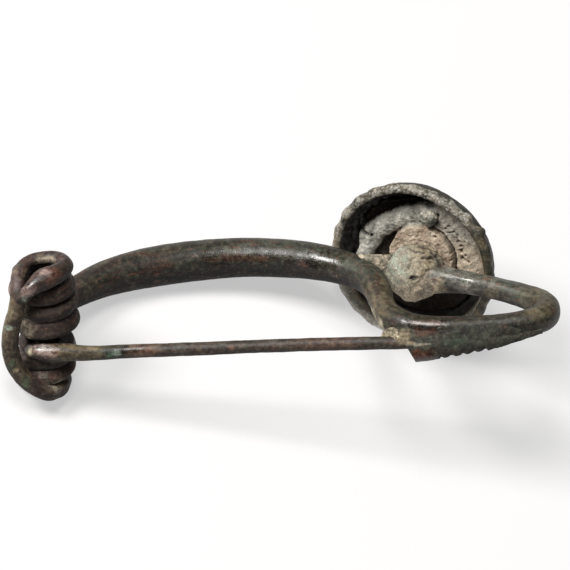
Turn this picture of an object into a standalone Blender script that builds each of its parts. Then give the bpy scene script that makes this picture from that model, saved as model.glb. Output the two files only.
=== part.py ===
"""A bronze brooch with a sprung pin, a looped foot and a hollow disc, lying loose on its bow and disc.

The brooch is laid out in its own frame, in millimetres: X runs from the spring to the foot along the
pin, Y along the spring's axis, and Z from the pin up to the bow. The origin is on the spring's axis,
in the plane of the bow. An empty then lays the whole brooch down as it comes to rest on a table.
"""

import math

import bmesh
import bpy
from mathutils import Vector

MM = 0.001

# Spring: wire wound about the Y axis, as angle in degrees, y and radius of the turn at each of its passes.
WIRE_RADIUS = 1.42
COIL_CENTRE_X = 0.2
COIL_BEND = 0.012
COIL_STEP_DEG = 20.0
BOW_PASSES = ((175.0, -0.4, 3.5), (1235.0, -9.17, 3.5))
PIN_PASSES = (
    (315.0, 9.9, 3.3),
    (360.0, 10.05, 3.3),
    (540.0, 8.6, 3.3),
    (720.0, 6.6, 3.2),
    (900.0, 5.3, 3.5),
    (990.0, 4.4, 3.0),
    (1080.0, 3.45, 3.1),
    (1170.0, 2.6, 3.3),
    (1260.0, 2.4, 3.2),
)

# Tubes: sides round the section, and stations made between two named ones.
WIRE_SIDES = 10
ROD_SIDES = 12
SPAN_STEP = 2.3

# Foot, bow and the bow's fall onto the spring: x, y, z and radius at each place that shapes them.
FOOT_AND_BOW = (
    (59.5, 0.0, 18.2, 2.90),
    (62.2, 0.0, 17.3, 2.50),
    (64.8, 0.0, 16.5, 2.05),
    (68.0, 0.0, 15.5, 1.75),
    (72.3, 0.0, 13.5, 1.70),
    (76.2, 0.0, 11.2, 1.82),
    (79.2, 0.0, 8.6, 2.10),
    (80.5, 0.0, 5.6, 2.30),
    (79.2, 0.0, 2.7, 2.20),
    (76.0, 0.0, 1.2, 1.90),
    (71.5, 0.0, 0.6, 1.60),
    (66.0, 0.0, 0.3, 1.50),
    (61.0, 0.0, 0.3, 1.60),
    (57.4, 0.0, 1.2, 1.95),
    (54.9, 0.0, 4.0, 2.05),
    (53.8, 0.0, 8.5, 1.98),
    (53.1, 0.0, 13.0, 2.25),
    (51.6, 0.0, 17.0, 2.50),
    (48.6, 0.0, 20.4, 2.75),
    (44.0, 0.0, 22.9, 2.95),
    (38.0, 0.0, 24.4, 3.10),
    (30.0, 0.0, 24.6, 3.20),
    (21.5, 0.0, 22.9, 3.30),
    (14.8, 0.0, 20.4, 3.20),
    (9.3, 0.0, 17.1, 2.90),
    (5.2, 0.0, 13.0, 2.50),
    (2.0, 0.3, 8.7, 1.90),
    (-0.7, 0.4, 5.1, 1.50),
    (-2.5, 0.0, 2.9, 1.42),
)

# The outermost turn leans over its neighbour and crosses the chord: x, y, z and radius.
LEANING_TURN = (
    (-4.4, -9.05, -0.9, 1.30),
    (-4.85, -8.1, -2.8, 1.34),
    (-4.4, -7.65, -4.2, 1.30),
    (-3.9, -8.15, -5.8, 1.12),
    (-2.65, -9.65, -6.0, 1.20),
    (-0.65, -10.75, -4.7, 1.76),
    (1.35, -11.05, -3.3, 1.58),
    (2.85, -11.3, -1.1, 1.40),
    (2.15, -11.6, 0.7, 1.22),
    (0.2, -11.6, 1.5, 1.10),
)

# From there the wire closes the ring and runs outside the turns, as the chord, to the spring's far end.
CHORD = (
    (2.15, -11.6, 0.7, 1.22),
    (0.2, -11.6, 1.5, 1.10),
    (-2.2, -11.5, 0.9, 1.06),
    (-3.75, -11.05, -0.4, 1.08),
    (-4.6, -10.3, -2.4, 1.13),
    (-4.65, -9.1, -4.2, 1.20),
    (-4.7, -7.45, -5.1, 1.25),
    (-5.0, -5.3, -5.5, 1.33),
    (-5.5, -3.2, -5.0, 1.36),
    (-5.9, -0.5, -4.9, 1.40),
    (-5.9, 1.6, -4.8, 1.42),
    (-5.4, 4.0, -4.8, 1.42),
    (-4.3, 6.0, -5.0, 1.42),
    (-2.4, 8.0, -5.0, 1.42),
    (-0.1, 9.6, -4.3, 1.42),
)

# Pin: it leaves the spring's last turn, runs straight but for a slight waver, and tapers inside the catch.
PIN = (
    (-2.45, 3.25, -1.5, 1.30),
    (-2.3, 2.85, -3.0, 1.22),
    (-1.75, 2.5, -3.95, 1.28),
    (-0.6, 2.45, -4.35, 1.45),
    (1.2, 2.45, -4.4, 1.50),
    (3.2, 2.5, -4.3, 1.42),
    (7.0, 2.7, -4.15, 1.2),
    (14.0, 2.49, -3.82, 1.12),
    (24.5, 2.3, -3.4, 1.08),
    (40.6, 1.93, -2.74, 1.06),
    (56.6, 1.785, -2.24, 1.05),
    (63.0, 1.68, -2.14, 0.90),
    (67.5, 1.55, -2.2, 0.55),
)

# Catch: a sheet that hangs from the foot and folds round the pin; x, y and z of the fold's centre and
# the reach from there to the lip.
CATCH = (
    (59.2, 2.52, -2.54, 2.33),
    (61.6, 2.46, -2.44, 2.14),
    (63.2, 2.40, -2.30, 1.95),
    (66.5, 2.16, -2.22, 1.71),
    (69.0, 1.95, -2.10, 1.47),
    (71.5, 1.77, -1.96, 1.20),
    (75.0, 1.45, -1.22, 0.80),
    (79.6, 0.95, 0.55, 0.50),
)
# The fold's outline from the foot to its hidden end, down and out from its centre, in parts of its reach.
CATCH_SHAPE = (
    (-0.75, 0.55),
    (-0.3, 0.76),
    (0.3, 0.76),
    (0.75, 0.56),
    (1.0, 0.1),
    (0.9, -0.35),
    (0.5, -0.62),
    (-0.1, -0.68),
)
CATCH_DOWN = Vector((0.893, -0.45))
CATCH_OUT = Vector((-0.45, -0.893))
CATCH_ROOT = Vector((0.1, -0.3))
CATCH_KNEE = Vector((0.32, -1.5))
FOOT_HEIGHTS = ((57.0, 0.9), (66.0, 0.3), (73.0, 0.7), (79.0, 2.7), (80.0, 4.6))
CATCH_WALL = 0.6
CATCH_WALL_SHARE = 0.38
CATCH_SLANT = 0.6
CATCH_SLANT_REACH = 4.8
CATCH_STATION_STEP = 0.45
NOTCH_FIRST_X = 63.2
NOTCH_LAST_X = 70.7
NOTCH_PITCH = 1.8
NOTCH_DEPTH = 0.3

# Terminal: the encrusted knob that ends the foot over the disc's hollow.
TERMINAL_CENTRE = (59.2, 0.1, 18.6)
TERMINAL_HALF_SIZES = (4.6, 4.6, 3.7)
TERMINAL_SEGMENTS = 18
TERMINAL_RINGS = 12
TERMINAL_LUMP = 0.07

# Disc: a hollow cup whose open side faces the foot, tilted about Y.
DISC_CENTRE = (58.6, 0.0, 22.0)
DISC_TILT_DEG = 22.0
DISC_RADIUS = 13.9
DISC_RIM_WIDTH = 1.4
DISC_DEPTH = 7.6
DISC_WALL = 1.25
DISC_FULLNESS = 2.6
DISC_SEGMENTS = 48
DISC_BEAD = 0.3
BOSS_RADIUS = 3.4
BOSS_HEIGHT = 0.8
GROOVE_RADIUS = 9.0
GROOVE_DEPTH = 0.35

# Filling: what is left of the bedding inside the disc.
FILL_GAP = 0.55
FILL_SEGMENTS = 40
FILL_EDGE_DEPTH = 4.0
FILL_RIDGE_DEPTH = 2.7
FILL_SIDE_DEPTH = 2.5
FILL_CORE_DEPTH = 1.5
FILL_CORE_RADIUS = 5.3
FILL_RIDGE_RADII = (6.2, 9.4)
FILL_RIDGE_DEG = (168.0, 288.0)
FILL_SIDE_DEG = (288.0, 380.0)
FILL_NUB_RADIUS = 1.1
FILL_NUB_PLACE = (1.7, -7.9)
FILL_NUB_HEIGHT = 0.9
FILL_RING_RADII = (1.6, 3.2, 4.6, 5.4, 6.1, 6.9, 7.9, 8.9, 9.7)
FILL_BACK_SHARES = (0.35, 0.7, 0.9)

# Lying down: the turn that brings the disc's edge, the bow and the spring's end onto the table, the
# shift that puts the origin under the middle of the brooch, and the depth of the three spots it rests on.
LYING_TURN_DEG = (-122.27, -14.88, 0.0)
LYING_SHIFT = (-35.96, -9.81, 9.912)
REST_SPOT_DEPTH = 0.25
TABLE_SIZE = (120.0, 80.0, 6.0)


def smooth_curve(stations, step):
    """Read a smooth curve through the stations, with a point about every step of length."""
    ends = [2 * Vector(stations[0]) - Vector(stations[1]), 2 * Vector(stations[-1]) - Vector(stations[-2])]
    points = [ends[0], *map(Vector, stations), ends[1]]
    curve = []
    for before, here, after, beyond in zip(points, points[1:], points[2:], points[3:]):
        pieces = max(1, round((after.xyz - here.xyz).length / step))
        for piece in range(pieces):
            t = piece / pieces
            curve.append(
                0.5
                * (
                    2 * here
                    + (after - before) * t
                    + (2 * before - 5 * here + 4 * after - beyond) * t**2
                    + (3 * here - before - 3 * after + beyond) * t**3
                )
            )
    curve.append(points[-2])
    return curve


def between(passes, place, value=1):
    """Read a value of the passes at a place between them, which their first value gives."""
    for before, after in zip(passes, passes[1:]):
        if place <= after[0]:
            share = max(0.0, (place - before[0]) / (after[0] - before[0]))
            return before[value] + (after[value] - before[value]) * share
    return passes[-1][value]


def coil(passes):
    """Wind wire about Y through its passes."""
    start_deg, end_deg = passes[0][0], passes[-1][0]
    steps = round((end_deg - start_deg) / COIL_STEP_DEG)
    turns = []
    for step in range(steps + 1):
        degrees = start_deg + (end_deg - start_deg) * step / steps
        angle = math.radians(degrees)
        y, radius = (between(passes, degrees, value) for value in (1, 2))
        x = COIL_CENTRE_X - COIL_BEND * y * y + radius * math.cos(angle)
        turns.append(Vector((x, y, radius * math.sin(angle), WIRE_RADIUS)))
    return turns


def tube_mesh(name, curve, sides):
    """Sweep a round section along the curve, whose fourth value is the section's radius."""
    mesh = bmesh.new()
    normal = Vector((0.0, 1.0, 0.0))
    rings = []
    for index, station in enumerate(curve):
        before = curve[max(index - 1, 0)].xyz
        after = curve[min(index + 1, len(curve) - 1)].xyz
        tangent = (after - before).normalized()
        normal = (normal - tangent * normal.dot(tangent)).normalized()
        across = tangent.cross(normal)
        ring = []
        for side in range(sides):
            angle = 2 * math.pi * side / sides
            offset = (normal * math.cos(angle) + across * math.sin(angle)) * station.w
            ring.append(mesh.verts.new((station.xyz + offset) * MM))
        rings.append(ring)
    join_rings(mesh, rings)
    return finished_mesh(name, mesh)


def join_rings(mesh, rings, ribbon=False):
    """Skin a list of rings of vertices into a closed tube with flat ends; a ribbon folds back on itself."""
    for ring, following in zip(rings, rings[1:]):
        for side in range(len(ring)):
            beside = (side + 1) % len(ring)
            mesh.faces.new((ring[side], ring[beside], following[beside], following[side]))
    for end in (list(reversed(rings[0])), rings[-1]):
        if ribbon:
            for place in range(len(end) // 2 - 1):
                mesh.faces.new((end[place], end[place + 1], end[-2 - place], end[-1 - place]))
        else:
            mesh.faces.new(end)


def finished_mesh(name, mesh):
    """Turn the faces out, split them into triangles and return the data block."""
    bmesh.ops.triangulate(mesh, faces=mesh.faces)
    bmesh.ops.recalc_face_normals(mesh, faces=mesh.faces)
    data = bpy.data.meshes.new(name)
    mesh.to_mesh(data)
    mesh.free()
    data.shade_smooth()
    data.set_sharp_from_angle(angle=math.radians(40))
    return data


def notch(x):
    """How far the catch's lip draws in at x, between one rounded scallop and the next."""
    if not NOTCH_FIRST_X <= x <= NOTCH_LAST_X:
        return 0.0
    return NOTCH_DEPTH * abs(math.cos(math.pi * (x - NOTCH_FIRST_X) / NOTCH_PITCH)) ** 3


def catch_stations():
    """Places along the catch: close together over the notches, and wide apart elsewhere."""
    plain = smooth_curve(CATCH, 1.6)
    notched = smooth_curve(CATCH, CATCH_STATION_STEP)
    stations = [place for place in plain if place.x < NOTCH_FIRST_X - 0.3]
    stations += [place for place in notched if NOTCH_FIRST_X <= place.x <= NOTCH_LAST_X]
    stations += [place for place in plain if place.x > NOTCH_LAST_X + 0.3]
    return stations


def catch_section(place):
    """The closed outline of the sheet at one place along the foot: its outer face and back on the inner."""
    middle = Vector((place.y, place.z))
    foot = Vector((0.0, between(FOOT_HEIGHTS, place.x)))
    outer = [foot + CATCH_ROOT, foot + CATCH_KNEE]
    outer += [middle + place.w * (down * CATCH_DOWN + out * CATCH_OUT) for down, out in CATCH_SHAPE]
    wall = min(CATCH_WALL, CATCH_WALL_SHARE * place.w)
    inner = []
    for index, point in enumerate(outer):
        along = (outer[min(index + 1, len(outer) - 1)] - outer[max(index - 1, 0)]).normalized()
        inner.append(point + wall * Vector((-along.y, along.x)))
    section = []
    for point in outer + inner[::-1]:
        from_middle = (point - middle).dot(CATCH_DOWN)
        drawn_in = notch(place.x) * blend(from_middle / place.w, 0.2, 0.9)
        point = point - drawn_in * CATCH_DOWN
        short_of_lip = min(CATCH_SLANT_REACH, max(0.0, place.w - from_middle))
        drawn_back = CATCH_SLANT * short_of_lip * (1 - blend(place.x, 61.0, 68.0))
        section.append(Vector((place.x - drawn_back, point.x, point.y)))
    return section


def catch_mesh():
    """Sweep the folded sheet along the foot: down beside the pin, round it and a little up again."""
    mesh = bmesh.new()
    rings = [[mesh.verts.new(point * MM) for point in catch_section(place)] for place in catch_stations()]
    join_rings(mesh, rings, ribbon=True)
    return finished_mesh("catch", mesh)


def terminal_mesh():
    """A knob with a lumpy crust, longer across the brooch than along it."""
    mesh = bmesh.new()
    bmesh.ops.create_uvsphere(mesh, u_segments=TERMINAL_SEGMENTS, v_segments=TERMINAL_RINGS, radius=1.0)
    for vertex in mesh.verts:
        x, y, z = vertex.co
        lump = 1 + TERMINAL_LUMP * (math.sin(3.1 * x + 1.2) * math.cos(2.7 * y) + math.sin(4.2 * z + 2 * y))
        size = Vector(TERMINAL_HALF_SIZES) * lump
        vertex.co = (Vector(TERMINAL_CENTRE) + Vector((x * size.x, y * size.y, z * size.z))) * MM
    return finished_mesh("terminal", mesh)


def cup_depth(radius, rim_radius, depth):
    """Depth below the rim of a full-shouldered cup at a radius."""
    return depth * (1 - min(1.0, radius / rim_radius) ** DISC_FULLNESS) ** (1 / DISC_FULLNESS)


def disc_place(right, down, depth):
    """A place in the disc: right and down across its opening, and depth in from the opening."""
    tilt = math.radians(DISC_TILT_DEG)
    along = Vector((math.cos(tilt), 0.0, -math.sin(tilt)))
    inwards = Vector((math.sin(tilt), 0.0, math.cos(tilt)))
    return (Vector(DISC_CENTRE) + along * right + Vector((0.0, down, 0.0)) + inwards * depth) * MM


def disc_profile():
    """Radius, depth and bead share of each ring of the disc, from its inner pole to its outer pole."""
    inner_rim = DISC_RADIUS - DISC_RIM_WIDTH
    inner_depth = DISC_DEPTH - DISC_WALL
    inside = [(inner_rim * share, cup_depth(inner_rim * share, inner_rim, inner_depth), 0.0)
              for share in (0.3, 0.6, 0.82, 0.94, 0.985)]
    rim = [(inner_rim, 0.25, 0.0), (inner_rim + 0.3, 0.0, 0.0), (DISC_RADIUS - 0.35, 0.0, 0.3)]
    border = [(DISC_RADIUS, 0.5, 1.0), (DISC_RADIUS, 1.3, 1.0), (DISC_RADIUS - 0.75, 2.0, 0.2)]
    dome = [(DISC_RADIUS * share, cup_depth(DISC_RADIUS * share, DISC_RADIUS, DISC_DEPTH), 0.0)
            for share in (0.93, 0.85, 0.75)]
    groove = [
        (GROOVE_RADIUS + 0.7, cup_depth(GROOVE_RADIUS + 0.7, DISC_RADIUS, DISC_DEPTH), 0.0),
        (GROOVE_RADIUS, cup_depth(GROOVE_RADIUS, DISC_RADIUS, DISC_DEPTH) - GROOVE_DEPTH, 0.0),
        (GROOVE_RADIUS - 0.7, cup_depth(GROOVE_RADIUS - 0.7, DISC_RADIUS, DISC_DEPTH), 0.0),
    ]
    foot_of_boss = cup_depth(BOSS_RADIUS, DISC_RADIUS, DISC_DEPTH)
    boss = [(BOSS_RADIUS + 0.5, foot_of_boss, 0.0), (BOSS_RADIUS, foot_of_boss + BOSS_HEIGHT * 0.7, 0.0),
            (BOSS_RADIUS - 0.5, foot_of_boss + BOSS_HEIGHT, 0.0)]
    return inside + rim + border + dome + groove + boss


def disc_mesh():
    """Turn the disc's profile about its own axis, with a beaded border."""
    mesh = bmesh.new()
    rings = []
    for radius, depth, bead in disc_profile():
        ring = []
        for segment in range(DISC_SEGMENTS):
            angle = 2 * math.pi * segment / DISC_SEGMENTS
            beaded = radius + bead * DISC_BEAD * (-1) ** segment
            ring.append(mesh.verts.new(disc_place(beaded * math.cos(angle), beaded * math.sin(angle), depth)))
        rings.append(ring)
    join_rings(mesh, rings)
    return finished_mesh("disc", mesh)


def table_mesh():
    """A block whose top is the table: it cuts the small flat spots that the brooch rests on."""
    mesh = bmesh.new()
    bmesh.ops.create_cube(mesh, size=1.0)
    for vertex in mesh.verts:
        x, y, z = vertex.co
        vertex.co = Vector((x * TABLE_SIZE[0], y * TABLE_SIZE[1], (z - 0.5) * TABLE_SIZE[2])) * MM
    return finished_mesh("table", mesh)


def blend(value, start, end):
    """Rise smoothly from 0 at start to 1 at end."""
    share = min(1.0, max(0.0, (value - start) / (end - start)))
    return share * share * (3 - 2 * share)


def within(value, low, high, soft):
    """1 between low and high, falling smoothly to 0 over soft beyond them."""
    return blend(value, low - soft, low) * (1 - blend(value, high, high + soft))


def filling_depth(radius, angle_deg):
    """Depth of the filling's surface: an outer ledge, part of a ridge, a broad side and a core."""
    depth = FILL_EDGE_DEPTH
    side = within(angle_deg, *FILL_SIDE_DEG, 14.0) + within(angle_deg + 360.0, *FILL_SIDE_DEG, 14.0)
    depth += (FILL_SIDE_DEPTH - FILL_EDGE_DEPTH) * min(1.0, side) * blend(radius, 5.6, 6.4)
    ridge = within(radius, *FILL_RIDGE_RADII, 0.5) * within(angle_deg, *FILL_RIDGE_DEG, 10.0)
    depth += (FILL_RIDGE_DEPTH - FILL_EDGE_DEPTH) * ridge * (1 - min(1.0, side))
    depth += (FILL_CORE_DEPTH - FILL_EDGE_DEPTH) * (1 - blend(radius, FILL_CORE_RADIUS - 0.6, FILL_CORE_RADIUS + 0.2))
    right = radius * math.cos(math.radians(angle_deg))
    down = radius * math.sin(math.radians(angle_deg))
    away = math.hypot(right - FILL_NUB_PLACE[0], down - FILL_NUB_PLACE[1])
    return depth - FILL_NUB_HEIGHT * (1 - blend(away, 0.4 * FILL_NUB_RADIUS, 1.4 * FILL_NUB_RADIUS))


def filling_mesh():
    """The filling: its own relief towards the opening, and the cup's inner shape behind."""
    mesh = bmesh.new()
    inner_rim = DISC_RADIUS - DISC_RIM_WIDTH
    inner_depth = DISC_DEPTH - DISC_WALL
    angles = [360.0 * segment / FILL_SEGMENTS for segment in range(FILL_SEGMENTS)]
    reach = [inner_wall_radius(filling_depth(inner_rim, degrees)) - FILL_GAP for degrees in angles]
    rings = []
    for share in FILL_BACK_SHARES:
        depths = [cup_depth(share * far + FILL_GAP, inner_rim, inner_depth) - FILL_GAP for far in reach]
        rings.append(filling_ring(mesh, angles, [share * far for far in reach], depths))
    rings.append(filling_ring(mesh, angles, reach))
    for radius in reversed(FILL_RING_RADII):
        rings.append(filling_ring(mesh, angles, [radius] * FILL_SEGMENTS))
    join_rings(mesh, rings)
    return finished_mesh("filling", mesh)


def filling_ring(mesh, angles, radii, depths=None):
    """One ring of the filling's vertices, on its shown surface unless depths are given."""
    ring = []
    for index, (degrees, radius) in enumerate(zip(angles, radii)):
        depth = depths[index] if depths else filling_depth(radius, degrees)
        angle = math.radians(degrees)
        ring.append(mesh.verts.new(disc_place(radius * math.cos(angle), radius * math.sin(angle), depth)))
    return ring


def inner_wall_radius(depth):
    """Radius of the cup's inner wall at a depth below the rim."""
    share = min(1.0, depth / (DISC_DEPTH - DISC_WALL))
    return (DISC_RADIUS - DISC_RIM_WIDTH) * (1 - share**DISC_FULLNESS) ** (1 / DISC_FULLNESS)


def material(name, colour, roughness, metallic):
    """A plain Principled material."""
    made = bpy.data.materials.new(name)
    made.use_nodes = True
    shader = made.node_tree.nodes["Principled BSDF"]
    shader.inputs["Base Color"].default_value = (*colour, 1.0)
    shader.inputs["Roughness"].default_value = roughness
    shader.inputs["Metallic"].default_value = metallic
    return made


def add_object(name, data, rest, finish):
    """Add a named object, in the brooch's own frame, and give it its material."""
    made = bpy.data.objects.new(name, data)
    bpy.context.scene.collection.objects.link(made)
    made.parent = rest
    data.materials.append(finish)
    return made


def add_guide(name, data, rest, finish):
    """Add an object that only shapes another one."""
    made = add_object(name, data, rest, finish)
    made.hide_render = True
    made.display_type = "WIRE"
    return made


def boolean(target, guide, operation):
    """Join the guide to the target, or cut it away, with an exact Boolean."""
    modifier = target.modifiers.new(guide.name, "BOOLEAN")
    modifier.operation = operation
    modifier.solver = "EXACT"
    modifier.object = guide


def main():
    """Clear the scene and build the brooch."""
    for old in list(bpy.data.objects):
        bpy.data.objects.remove(old)
    bronze = material("patinated bronze", (0.075, 0.082, 0.055), 0.42, 0.55)
    disc_bronze = material("crusted bronze", (0.19, 0.18, 0.14), 0.7, 0.3)
    bedding = material("dried bedding", (0.42, 0.36, 0.28), 0.95, 0.0)

    rest = bpy.data.objects.new("lying brooch", None)
    bpy.context.scene.collection.objects.link(rest)
    rest.rotation_euler = [math.radians(turn) for turn in LYING_TURN_DEG]
    rest.location = (Vector(LYING_SHIFT) - Vector((0.0, 0.0, REST_SPOT_DEPTH))) * MM

    bow = smooth_curve(FOOT_AND_BOW, SPAN_STEP) + coil(BOW_PASSES)
    tubes = (
        ("leaning turn", smooth_curve(LEANING_TURN, 1.2)),
        ("chord", smooth_curve(CHORD, 1.4)),
        ("turns beside the pin", coil(PIN_PASSES)),
        ("pin", smooth_curve(PIN, 4.0)),
    )
    body = add_object("brooch_body", tube_mesh("bow and spring", bow, ROD_SIDES), rest, bronze)
    wires = [add_guide(name, tube_mesh(name, curve, WIRE_SIDES), rest, bronze) for name, curve in tubes]
    catch = add_guide("catch plate", catch_mesh(), rest, bronze)
    terminal = add_guide("terminal knob", terminal_mesh(), rest, bronze)
    table = add_guide("table", table_mesh(), None, bronze)
    for guide in (*wires, catch, terminal):
        boolean(body, guide, "UNION")
    boolean(body, table, "DIFFERENCE")
    cup = add_object("disc_cup", disc_mesh(), rest, disc_bronze)
    boolean(cup, table, "DIFFERENCE")
    add_object("disc_filling", filling_mesh(), rest, bedding)


main()
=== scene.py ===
"""Looks of a bronze bow brooch, lying as it comes to rest on a pale surface.

The brooch is worked out in its own frame, in millimetres: X runs from the spring to the foot along the
pin, Y along the spring's axis, and Z from the pin up to the bow. Every mesh is then laid down, in metres,
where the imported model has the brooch. The bronze is one wire that is foot, bow, spring, chord and pin,
with a folded catch and a crusted knob; the hollow disc and the dried bedding in it are pieces of their own.
"""

import logging
import math
from dataclasses import dataclass
from enum import Enum
from typing import Any, Iterable, Sequence

import bmesh
import bpy
import numpy as np
from mathutils import Euler, Matrix, Vector, noise


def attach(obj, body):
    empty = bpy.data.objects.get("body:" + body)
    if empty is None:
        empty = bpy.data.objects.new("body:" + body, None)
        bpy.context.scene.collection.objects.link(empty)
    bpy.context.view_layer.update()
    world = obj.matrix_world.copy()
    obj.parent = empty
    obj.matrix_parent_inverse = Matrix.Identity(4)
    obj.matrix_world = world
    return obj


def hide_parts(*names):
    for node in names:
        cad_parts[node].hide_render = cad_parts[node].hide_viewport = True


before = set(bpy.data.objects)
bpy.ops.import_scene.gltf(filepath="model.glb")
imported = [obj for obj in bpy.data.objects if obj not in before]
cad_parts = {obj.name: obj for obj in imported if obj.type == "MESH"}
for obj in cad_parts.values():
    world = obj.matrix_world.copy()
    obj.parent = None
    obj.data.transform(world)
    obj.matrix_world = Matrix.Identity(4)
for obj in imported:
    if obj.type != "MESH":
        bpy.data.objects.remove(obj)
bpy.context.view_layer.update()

LOG = logging.getLogger("brooch")
MM = 0.001

# The angle left open at each pole of a lump, in radians, which its ends' fans close.
POLE_GAP = 0.02

# How the brooch lies: the turn and shift from its own frame, in degrees and millimetres.
LYING_TURN_DEG = (-122.27, -14.88, 0.0)
LYING_SHIFT = (-35.96, -9.81, 9.662)
LYING = (
    Matrix.Translation(Vector(LYING_SHIFT) * MM)
    @ Euler([math.radians(turn) for turn in LYING_TURN_DEG]).to_matrix().to_4x4()
)

# Up, down and out towards the eye in the main view, in the brooch's own frame.
VIEWED_UP = (0.0, -0.893, 0.45)
VIEWED_DOWN = (0.0, 0.893, -0.45)
VIEWED_OUT = (0.0, -0.45, -0.893)

Triple = tuple[float, float, float]
Stations = Sequence[tuple[float, ...]]


class Patina(Enum):
    """The colours of old bronze and its crusts, and of the dried bedding, as sRGB hex; some also paint shade
    and light, and LILAC_HIGHLIGHT paints highlights.
    """

    BLACK = "#100d0b"
    UMBER = "#271f19"
    OLIVE = "#302f24"
    MOSS = "#23271f"
    GREY_GREEN = "#45483d"
    AUBERGINE = "#33221b"
    MAUVE = "#54433f"
    COPPER = "#57372a"
    ROSE = "#775546"
    KHAKI = "#776a4e"
    SAND = "#9a8a70"
    CREAM = "#b9b097"
    VERDIGRIS = "#8b9686"
    EMERALD = "#3c5c43"
    ASH = "#9a978f"
    CLAY = "#a99b88"
    CHALK = "#b9b5aa"
    LILAC_HIGHLIGHT = "#8f7a74"


class Trait(Enum):
    """What else varies over a surface: crust and striation from 0 to 1, polish from -1, dull, to 1."""

    CRUST = "crust"
    STRIATION = "striation"
    POLISH = "polish"


class Slot(Enum):
    """The record's material slots."""

    BRONZE = "bronze"
    DISC = "disc_bronze"
    FILLING = "filling"


# ---------------------------------------------------------------------------------------------------------
# Numbers and noise
# ---------------------------------------------------------------------------------------------------------


def blend(value: Any, start: float, end: float) -> Any:
    """Rise smoothly from 0 at start to 1 at end, or fall if end is below start.

    Args:
        value: A number or an array.
        start: Where the rise begins.
        end: Where the rise is complete.

    Returns:
        The share, with the shape of value.
    """
    share = np.clip((value - start) / (end - start), 0.0, 1.0)
    return share * share * (3.0 - 2.0 * share)


def within(value: Any, low: float, high: float, soft: float) -> Any:
    """1 between low and high, falling smoothly to 0 over soft beyond them.

    Args:
        value: A number or an array.
        low: Lower end of the full stretch.
        high: Upper end of the full stretch.
        soft: Width of the fall at each end.

    Returns:
        The share, with the shape of value.
    """
    return blend(value, low - soft, low) * (1.0 - blend(value, high, high + soft))


def rough(places: np.ndarray, size: float, octaves: int = 3, seed: float = 0.0) -> np.ndarray:
    """Fractal noise, mostly between -1 and 1.

    Args:
        places: Points in millimetres, one a row.
        size: Size of the largest lumps in millimetres.
        octaves: How many finer layers are added.
        seed: Moves the noise, so that two uses differ.

    Returns:
        One value for each point.
    """
    scaled = places / size + np.array((seed, 1.7 * seed, -2.3 * seed))
    return np.array([noise.fractal(Vector(place), 0.9, 2.1, octaves) for place in scaled])


def grains(places: np.ndarray, size: float, seed: float = 0.0) -> np.ndarray:
    """Rounded grains packed together: 1 on the middle of a grain and near 0 between grains.

    Args:
        places: Points in millimetres, one a row.
        size: Spacing of the grains in millimetres.
        seed: Moves the grains.

    Returns:
        One value for each point.
    """
    scaled = places / size + np.array((seed, -1.3 * seed, 2.1 * seed))
    nearest = np.array([noise.voronoi(Vector(place))[0][0] for place in scaled])
    return np.clip(1.0 - 1.4 * nearest, 0.0, 1.0)


@dataclass(frozen=True)
class Dab:
    """A ragged spot on a surface.

    Attributes:
        colour: Its colour, or None where it only raises a trait.
        middle: Its middle in the brooch's frame.
        reach: How far it reaches from there, all round or along X, Y and Z.
        strength: Its share at its middle.
    """

    colour: Patina | None
    middle: Triple
    reach: float | Triple
    strength: float = 1.0

    def share(self, places: np.ndarray, tatters: np.ndarray) -> np.ndarray:
        """How much of the stain covers each place, with tatters moving its edge."""
        away = np.linalg.norm((places - np.array(self.middle)) / np.array(self.reach), axis=1)
        return self.strength * blend(1.15 - away + tatters, 0.0, 0.7)


class Coat:
    """Colours laid over one another at each vertex of a piece, and the other traits of its surface."""

    def __init__(self, places: np.ndarray, ground: Patina) -> None:
        """Cover a surface with one colour.

        Args:
            places: Its vertices in millimetres, one a row.
            ground: The colour.
        """
        self.places = places
        self.colour = np.tile(to_linear(ground.value)[:3], (len(places), 1))
        self.traits = {trait: np.zeros(len(places)) for trait in Trait}
        self.tatters = 0.45 * rough(places, 1.5, 4, 7.0)

    def only(self, kept: np.ndarray) -> "Coat":
        """Pick out the coat of some vertices.

        Args:
            kept: Their numbers.

        Returns:
            Their coat.
        """
        part = object.__new__(Coat)
        part.places, part.colour, part.tatters = self.places[kept], self.colour[kept], self.tatters[kept]
        part.traits = {trait: values[kept] for trait, values in self.traits.items()}
        return part

    def lay(self, colour: Patina, share: Any) -> None:
        """Lay a colour over the rest by a share, one a vertex or for all."""
        cover = np.clip(share, 0.0, 1.0) * np.ones(len(self.places))
        self.colour += (np.array(to_linear(colour.value)[:3]) - self.colour) * cover[:, None]

    def dab(self, dabs: Iterable[Dab], trait: Trait | None = None) -> None:
        """Lay stains in turn, and raise a trait with them if given.

        Args:
            dabs: The stains, the first one lowest.
            trait: The trait that each raises to its own share.
        """
        for stain in dabs:
            share = stain.share(self.places, self.tatters)
            if stain.colour is not None:
                self.lay(stain.colour, share)
            if trait is not None:
                self.traits[trait] = np.maximum(self.traits[trait], share)


# ---------------------------------------------------------------------------------------------------------
# Meshes
# ---------------------------------------------------------------------------------------------------------


def smooth_curve(stations: Stations, step: float) -> np.ndarray:
    """Read a smooth curve through stations of any number of values, the first ones being a place.

    Args:
        stations: The places and values that the curve passes through.
        step: Spacing of the points read, in millimetres.

    Returns:
        The points, one a row.
    """
    points = np.array(stations, float)
    points = np.vstack([2 * points[0] - points[1], points, 2 * points[-1] - points[-2]])
    curve = []
    for before, here, after, beyond in zip(points, points[1:], points[2:], points[3:]):
        pieces = max(1, round(float(np.linalg.norm(after[:3] - here[:3])) / step))
        t = np.arange(pieces)[:, None] / pieces
        bend = 2 * before - 5 * here + 4 * after - beyond
        swing = 3 * (here - after) + beyond - before
        curve.append(0.5 * (2 * here + (after - before) * t + bend * t**2 + swing * t**3))
    curve.append(points[-2:-1])
    return np.vstack(curve)


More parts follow.
